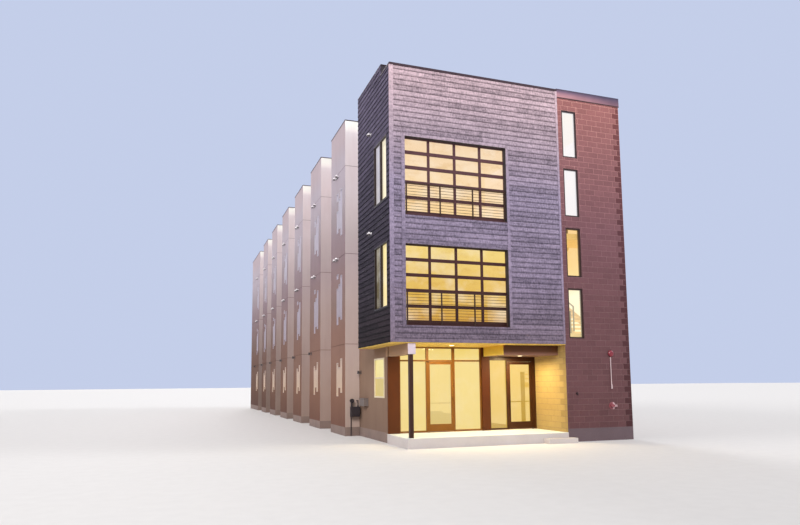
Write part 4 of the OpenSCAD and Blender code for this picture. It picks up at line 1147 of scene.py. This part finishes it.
@dataclass
class Cladding:
    """Lapped sawn boards over one wall face, with butt joints and rough lower edges."""

    name: str
    plane: Plane
    area: Rect
    holes: list[Rect]
    seed: int = 7
    thick: float = 0.022
    thin: float = 0.006
    step: float = 0.12
    ragged: float = 0.008
    rise_share: float = 0.4
    longest: float = 3.6
    shortest: float = 1.1
    least_share: float = 0.6
    lap: float = 0.008
    gap: float = 0.0015

    def roughen(self, shape: Shape, height: float, rng: random.Random) -> None:
        """Cuts the boards across at even steps and pulls their lower edges out of line.

        Args:
            shape: The mesh of the straight boards.
            height: The height of one course.
            rng: Where the offsets come from.
        """
        bm, area = shape.bm, self.area
        for i in range(1, int((area.hi - area.lo) / self.step)):
            bmesh.ops.bisect_plane(bm, geom=[*bm.verts, *bm.edges, *bm.faces],
                                   plane_co=(area.lo + i * self.step, 0, 0), plane_no=(1, 0, 0))
        drops: dict[tuple[int, int], float] = {}
        for vert in bm.verts:
            k = round((vert.co.z - area.foot) / height)
            if abs(vert.co.z - area.foot - k * height) < HAIR and vert.co.z < area.top - HAIR:
                key = (k, round(vert.co.x * 1000))
                vert.co.z += drops.setdefault(
                    key, rng.uniform(-self.ragged, self.ragged * self.rise_share))
            elif vert.co.y > self.thin:
                vert.co.y = self.thin

    def course(self, shape: Shape, foot: float, height: float, rng: random.Random) -> None:
        """Lays one course, cut to length at its joints and notched round the openings.

        Args:
            shape: The mesh that takes the boards.
            foot: The course's foot.
            height: Its height.
            rng: Where lengths and tones come from.
        """
        top = min(foot + height + self.lap, self.area.top)
        near = [h for h in self.holes if h.spans_height(foot, foot + height)]
        for lo, hi in split((self.area.lo, self.area.hi), [(h.lo, h.hi) for h in near]):
            start = lo
            while start < hi - NIL:
                end = min(hi, start + rng.uniform(self.shortest, self.longest))
                if hi - end < self.shortest * self.least_share:
                    end = hi
                shape.box((start + self.gap, 0, foot), (end - self.gap, self.thick, top),
                          tone=rng.random())
                start = end
        for hole in near:
            for low, high in split((foot, foot + height), [(hole.foot, hole.top)]):
                shape.box((hole.lo, 0, low), (hole.hi, self.thick, high), tone=rng.random())

    def build(self) -> Shape:
        """Lays the boards course by course.

        Returns:
            The mesh of all the boards.
        """
        shape = Shape(self.name)
        rng = random.Random(self.seed)
        count = courses(self.area.foot, self.area.top)
        height = (self.area.top - self.area.foot) / count
        for k in range(count):
            self.course(shape, self.area.foot + k * height, height, rng)
        self.roughen(shape, height, rng)
        bmesh.ops.transform(shape.bm, matrix=self.plane.matrix(), verts=shape.bm.verts)
        return shape


@dataclass
class BlockWork:
    """Running bond of blocks on one wall face, over the mortar that the solid shows.

    The dark end block of each course is as long as ends says, for odd and even courses.
    """

    name: str
    plane: Plane
    area: Rect
    holes: list[Rect]
    floor: float
    ends: Span
    ends_low: bool = False
    seed: int = 3
    joint: float = 0.012
    length: float = 0.4064
    height: float = 0.2032
    proud: float = 0.004
    sunk: float = 0.002
    least_course: float = 0.03
    least_end: float = 0.04
    least_piece: float = 0.025
    clear: float = 0.05
    edge: float = 0.002

    def build(self) -> tuple[Shape, Shape]:
        """Lays the blocks course by course.

        Returns:
            The mesh of plain blocks and the mesh of dark end blocks.
        """
        plain, dark = Shape(self.name), Shape(self.name + "_ends")
        rng = random.Random(self.seed)
        k = 0
        while self.floor + k * self.height < self.area.top - HAIR:
            foot = max(self.area.foot, self.floor + k * self.height)
            top = min(self.area.top, self.floor + (k + 1) * self.height)
            k += 1
            if top - foot > self.least_course:
                self.lay(plain, dark, (foot, top), k, rng)
        plain.chamfer(self.edge)
        dark.chamfer(self.edge)
        return plain, dark

    def lay(self, plain: Shape, dark: Shape, band: Span, k: int, rng: random.Random) -> None:
        """Lays one course, with its blocks cut round the openings.

        Args:
            plain: The mesh for plain blocks.
            dark: The mesh for dark end blocks.
            band: The course's foot and top.
            k: Which course it is.
            rng: Where the tones come from.
        """
        end = self.ends[k % 2]
        span = [self.area.lo, self.area.hi]
        side = 0 if self.ends_low else 1
        limit = span[side] + (end if self.ends_low else -end)
        self.block(dark, sorted((span[side], limit)), band, rng.random())
        span[side] = limit
        start = self.area.hi + (self.length / 2 if k % 2 else 0.0)
        first = math.ceil((span[0] + self.least_end - start) / self.length)
        last = math.floor((span[1] - self.least_end - start) / self.length)
        near = [h for h in self.holes if h.spans_height(*band)]
        edges = [edge for h in near for edge in (h.lo, h.hi)]
        joints = [start + j * self.length for j in range(first, last + 1)]
        joints = [j for j in joints if all(abs(j - edge) > self.clear for edge in edges)]
        marks = sorted({*span, *joints, *edges})
        for lo, hi in zip(marks, marks[1:]):
            over = [(h.foot, h.top) for h in near if h.lo < (lo + hi) / 2 < h.hi]
            tone = rng.random()
            for piece in split(band, over):
                if piece[1] - piece[0] > self.least_piece:
                    self.block(plain, (lo, hi), piece, tone)

    def block(self, shape: Shape, span: Span, band: Span, tone: float) -> None:
        """Adds one block, less its share of the joints."""
        half = self.joint / 2
        shape.box((span[0] + half, -self.sunk, band[0] + half),
                  (span[1] - half, self.proud, band[1] - half), self.plane.matrix(), tone)


@dataclass
class StreetBox:
    """The wood-clad box over the entrance, with its boards, corner boards and window boards."""

    finishes: Finishes
    corner: float = 0.12
    right_corner: float = 0.085
    casing: float = 0.13
    narrow: float = 0.8
    ear: float = 0.06
    foot_band: float = 0.11
    trim_thick: float = 0.027
    side_trim: float = 0.03
    trim_length: float = 3.4
    trim_gap: Span = (0.002, 0.001)
    trim_edge: float = 0.003
    foot_tone: float = 0.6
    side_tone: float = 0.3
    seed: int = 5
    parapet_back: float = 0.9
    big_window: Rect = Rect(0.505, 4.225, 0.145, 2.795)
    side_window: Rect = Rect(0.32, 1.74, 0.75, 2.93)

    def build(self) -> None:
        """Builds the boards and their trims."""
        floors = (L.floor_2, L.floor_3)
        big = [self.big_window.moved(L.left, z) for z in floors]
        side = [self.side_window.moved(L.street, z) for z in floors]
        foot, top = big[0].foot - self.ear, big[1].top + self.ear
        casings = [Rect(big[0].lo - self.casing, big[0].lo, foot, top),
                   Rect(big[0].hi, big[0].hi + self.casing * self.narrow, foot, top)]
        west = Plane(Side.WEST, -L.left)
        f = self.finishes
        for finish, boards in (
                (f.front_boards, Cladding(
                    "front_boards", Plane(Side.STREET, -L.street),
                    Rect(L.left + self.corner, L.box_right - self.right_corner,
                         L.box_foot + self.foot_band, L.box_top), [*big, *casings])),
                (f.side_boards, Cladding(
                    "side_boards", west,
                    Rect(L.street + self.side_trim, L.box_back, L.box_foot, L.box_top), side, 11)),
                (f.side_boards, Cladding(
                    "high_side_boards", west,
                    Rect(L.street + self.parapet_back, L.box_back, L.box_top, L.high_top), [],
                    12))):
            boards.build().done(finish, BUILDING, "weathered_wood")
        self.trims(casings)

    def trims(self, casings: list[Rect]) -> None:
        """Builds the upright corner boards, the window casings and the foot board.

        Args:
            casings: The upright boards beside the big windows.
        """
        shape = Shape("front_trim_boards")
        place = Plane(Side.STREET, -L.street).matrix()
        rng = random.Random(self.seed)
        beside, butt = self.trim_gap
        corner, right = L.left + self.corner, L.box_right - self.right_corner
        for rect in (Rect(L.left - Cladding.thick, corner, L.box_foot, L.box_top),
                     Rect(right, L.box_right, L.box_foot, L.box_top), *casings):
            count = max(1, round((rect.top - rect.foot) / self.trim_length))
            rise = (rect.top - rect.foot) / count
            for i in range(count):
                foot = rect.foot + rise * i
                shape.box((rect.lo + beside, 0, foot + butt),
                          (rect.hi - beside, self.trim_thick, foot + rise - butt), place,
                          rng.random())
        shape.box((corner, 0, L.box_foot), (right, self.trim_thick, L.box_foot + self.foot_band),
                  place, self.foot_tone)
        shape.box((L.street, 0, L.box_foot),
                  (L.street + self.side_trim, Cladding.thick, L.box_top),
                  Plane(Side.WEST, -L.left).matrix(), self.side_tone)
        shape.chamfer(self.trim_edge)
        shape.done(self.finishes.trim, BUILDING, "weathered_wood")


@dataclass
class Tower:
    """The block stair tower: blocks on its street face, east side and entry side."""

    finishes: Finishes
    window: Rect = Rect(0.19, 0.81, -0.19, 1.58)
    window_rise: float = 2.18
    storeys: int = 4
    tight: float = 0.006

    def build(self) -> None:
        """Builds the blocks of each face."""
        f, foot = self.finishes, L.tower_foot
        windows = [self.window.moved(L.box_right, L.floor_2 + i * self.window_rise)
                   for i in range(self.storeys)]
        faces = (
            (f.blocks, f.quoins, BlockWork(
                "tower_street_blocks", Plane(Side.STREET, -L.tower_face),
                Rect(L.box_right, L.tower_right, foot, L.tower_top), windows, foot, (0.15, 0.30))),
            (f.blocks, f.quoins, BlockWork(
                "tower_east_blocks", Plane(Side.EAST, L.tower_right),
                Rect(L.tower_face, L.row_start, foot, L.tower_top), [], foot, (0.30, 0.15), True,
                4)),
            (f.entry_blocks, f.entry_quoins, BlockWork(
                "entry_blocks", Plane(Side.WEST, -L.box_right),
                Rect(L.tower_face, L.store_face, L.porch, L.soffit), [],
                foot - BlockWork.height, (0.40, 0.15), True, 6, self.tight)))
        for plain_finish, end_finish, face in faces:
            plain, dark = face.build()
            plain.done(plain_finish, BUILDING, "block")
            dark.done(end_finish, BUILDING, "block")


@dataclass
class DownBeam:
    """The stucco-clad beam from the side wall out to the post, and its painted end plate."""

    finishes: Finishes
    west: float = 0.018
    width: float = 0.260
    drop: float = 0.352
    front: float = 0.055
    cover: float = 0.008
    gap: float = 0.004
    lap: float = 0.012
    plate: float = 0.005
    edge: float = 0.004
    plate_edge: float = 0.001

    def build(self) -> None:
        """Builds the beam round the post's head and over the corner panel's top."""
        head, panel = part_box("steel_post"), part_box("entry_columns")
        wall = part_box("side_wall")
        west, foot, front = wall[0].x - self.west, L.soffit - self.drop, L.street + self.front
        shape = Shape("stucco_down_beam")
        shape.box((west, front, foot), (west + self.width, panel[0].y - self.gap, L.soffit))
        shape.box((panel[0].x - self.cover, panel[0].y - self.cover, foot),
                  (west + self.width, wall[0].y + self.lap, L.soffit))
        shape.chamfer(self.edge)
        shape.done(self.finishes.beam_stucco, BUILDING, "stucco")
        log.info("beam meets the post's head at %.3f", head[0].x)
        end = Shape("down_beam_end")
        end.box((west, front - self.plate, foot), (west + self.width, front, L.soffit))
        end.chamfer(self.plate_edge)
        end.done(self.finishes.beam_end, BUILDING, "white_frames")


@dataclass
class Flashing:
    """The folded metal edge along the top of the wood-clad front."""

    finishes: Finishes
    high: float = 0.07
    proud: float = 0.030
    above: float = 0.012
    gap: float = 0.0005
    edge: float = 0.004

    def build(self) -> None:
        """Builds the edge over the boards' top."""
        shape = Shape("front_edge_flashing")
        top, west, street = L.box_top + self.above, L.left - self.proud, L.street - self.gap
        shape.box((west, L.street - self.proud, top - self.high), (L.box_right, street, top))
        shape.box((west, street, top - self.high),
                  (L.left - self.gap, L.street + StreetBox.parapet_back, top))
        shape.chamfer(self.edge)
        shape.done(self.finishes.dark_metal, BUILDING, "dark_metal")


@dataclass
class Studio:
    """The pale floor, the soft lights and the camera at the photograph's viewpoint."""

    eye: Point = (-10.958, -38.454, 2.052)
    yaw: float = math.radians(19.408)
    pitch: float = math.radians(6.240)
    roll: float = math.radians(-0.511)
    focal_share: float = 640.41 / 800
    shift_up: float = 50.77 / 800
    film: float = 36.0
    sun_width: float = math.radians(25)
    suns: tuple[tuple[str, Point, float, Colour], ...] = (
        ("key", (-0.42, -0.78, 0.46), 2.1, (1.0, 0.98, 0.97)),
        ("west", (-0.9, 0.12, 0.42), 1.0, (1.0, 0.98, 0.97)),
        ("east", (0.85, -0.3, 0.42), 0.9, (0.97, 0.98, 1.0)),
        ("rear", (0.1, 0.9, 0.42), 1.3, (1.0, 0.98, 0.96)))
    sky_seen: Colour = (0.552, 0.619, 0.816)
    sky_lit: Colour = (0.95, 0.97, 1.0)
    sky_strength: float = 0.45
    floor_half: float = 400.0
    entry_colour: Colour = (1.0, 0.80, 0.42)
    entry_power: Span = (70, 95)
    entry_size: float = 0.4
    entry_drop: float = 0.02
    entry_lean: float = 0.35
    lens: float = 0.15
    lens_thick: float = 0.006

    def build(self) -> None:
        """Builds the studio."""
        self.floor()
        self.world()
        self.lights()
        self.camera()

    def floor(self) -> None:
        """Makes the pale floor."""
        shape = Shape("pale_floor")
        bmesh.ops.create_grid(shape.bm, x_segments=1, y_segments=1,
                              size=self.floor_half)
        g = Graph("pale_floor")
        colour = g.mix(g.noise(3.0, 3.0), (0.70, 0.68, 0.67), (0.76, 0.74, 0.73))
        g.finish(Base_Color=colour, Roughness=0.9)
        piece = shape.stand(g.owner)

    def world(self) -> None:
        """Makes an even sky: pale to the camera, soft light for the rest."""
        g = Graph("studio", world=True)
        camera, glossy, through = (g.node("ShaderNodeLightPath", pick=ray) for ray in (
            "Is Camera Ray", "Is Glossy Ray", "Is Transmission Ray"))
        seen = g.node("ShaderNodeBackground", Color=self.sky_seen)
        lit = g.node("ShaderNodeBackground", Color=self.sky_lit,
                     Strength=self.sky_strength)
        g.end(g.node("ShaderNodeMixShader", None, camera.most(glossy).most(through), lit, seen),
              "World")
        bpy.context.scene.world = g.owner

    @staticmethod
    def hang(name: str, kind: LampKind, toward: Vector, power: float,
             colour: Colour) -> bpy.types.Object:
        """Adds one lamp.

        Args:
            name: Its name.
            kind: What kind it is.
            toward: Which way it lies from what it lights.
            power: Its strength, or its power in watts.
            colour: Its colour.

        Returns:
            The lamp.
        """
        data = bpy.data.lights.new(name, kind.value)
        data.energy = power
        data.color = colour
        lamp = bpy.data.objects.new(name, data)
        lamp.rotation_euler = toward.to_track_quat("Z", "Y").to_euler()
        bpy.context.scene.collection.objects.link(lamp)
        return lamp

    def lights(self) -> None:
        """Hangs the soft lamps round the row and the small warm ones over the entry."""
        for name, toward, power, colour in self.suns:
            self.hang(name, LampKind.SUN, Vector(toward), power, colour).data.angle = self.sun_width
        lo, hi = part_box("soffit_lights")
        half = self.lens / 2
        places = (Vector((lo.x + half, lo.y + half, hi.z - self.lens_thick - self.entry_drop)),
                  Vector((hi.x - half, hi.y - half, lo.z - self.entry_drop)))
        for place, power in zip(places, self.entry_power):
            lamp = self.hang("entry", LampKind.AREA, Vector((self.entry_lean, 0, place.z)),
                             power, self.entry_colour)
            lamp.location = place
            lamp.data.size = self.entry_size

    def camera(self) -> None:
        """Places the camera and turns it by its yaw, pitch and roll."""
        flat = math.cos(self.pitch)
        ahead = Vector((math.sin(self.yaw) * flat, math.cos(self.yaw) * flat,
                        math.sin(self.pitch)))
        level = Vector((math.cos(self.yaw), -math.sin(self.yaw), 0))
        upright = level.cross(ahead)
        right = level * math.cos(self.roll) + upright * math.sin(self.roll)
        up = upright * math.cos(self.roll) - level * math.sin(self.roll)
        data = bpy.data.cameras.new("camera")
        data.sensor_width = self.film
        data.lens = self.film * self.focal_share
        data.shift_y = self.shift_up
        data.clip_end = 500.0
        camera = bpy.data.objects.new("camera", data)
        turn = Matrix((right, up, -ahead)).transposed().to_4x4()
        camera.matrix_world = Matrix.Translation(Vector(self.eye)) @ turn
        bpy.context.scene.collection.objects.link(camera)
        bpy.context.scene.camera = camera


def main() -> None:
    """Builds the row's dress in order."""
    logging.basicConfig(level=logging.INFO, format="%(name)s: %(message)s")
    bpy.context.scene.view_settings.view_transform = "Standard"
    finishes = Finishes()
    Studio().build()
    finishes.dress_solids()
    for assembly in (StreetBox, Tower, DownBeam, Flashing):
        assembly(finishes).build()


if __name__ == "__main__":
    main()
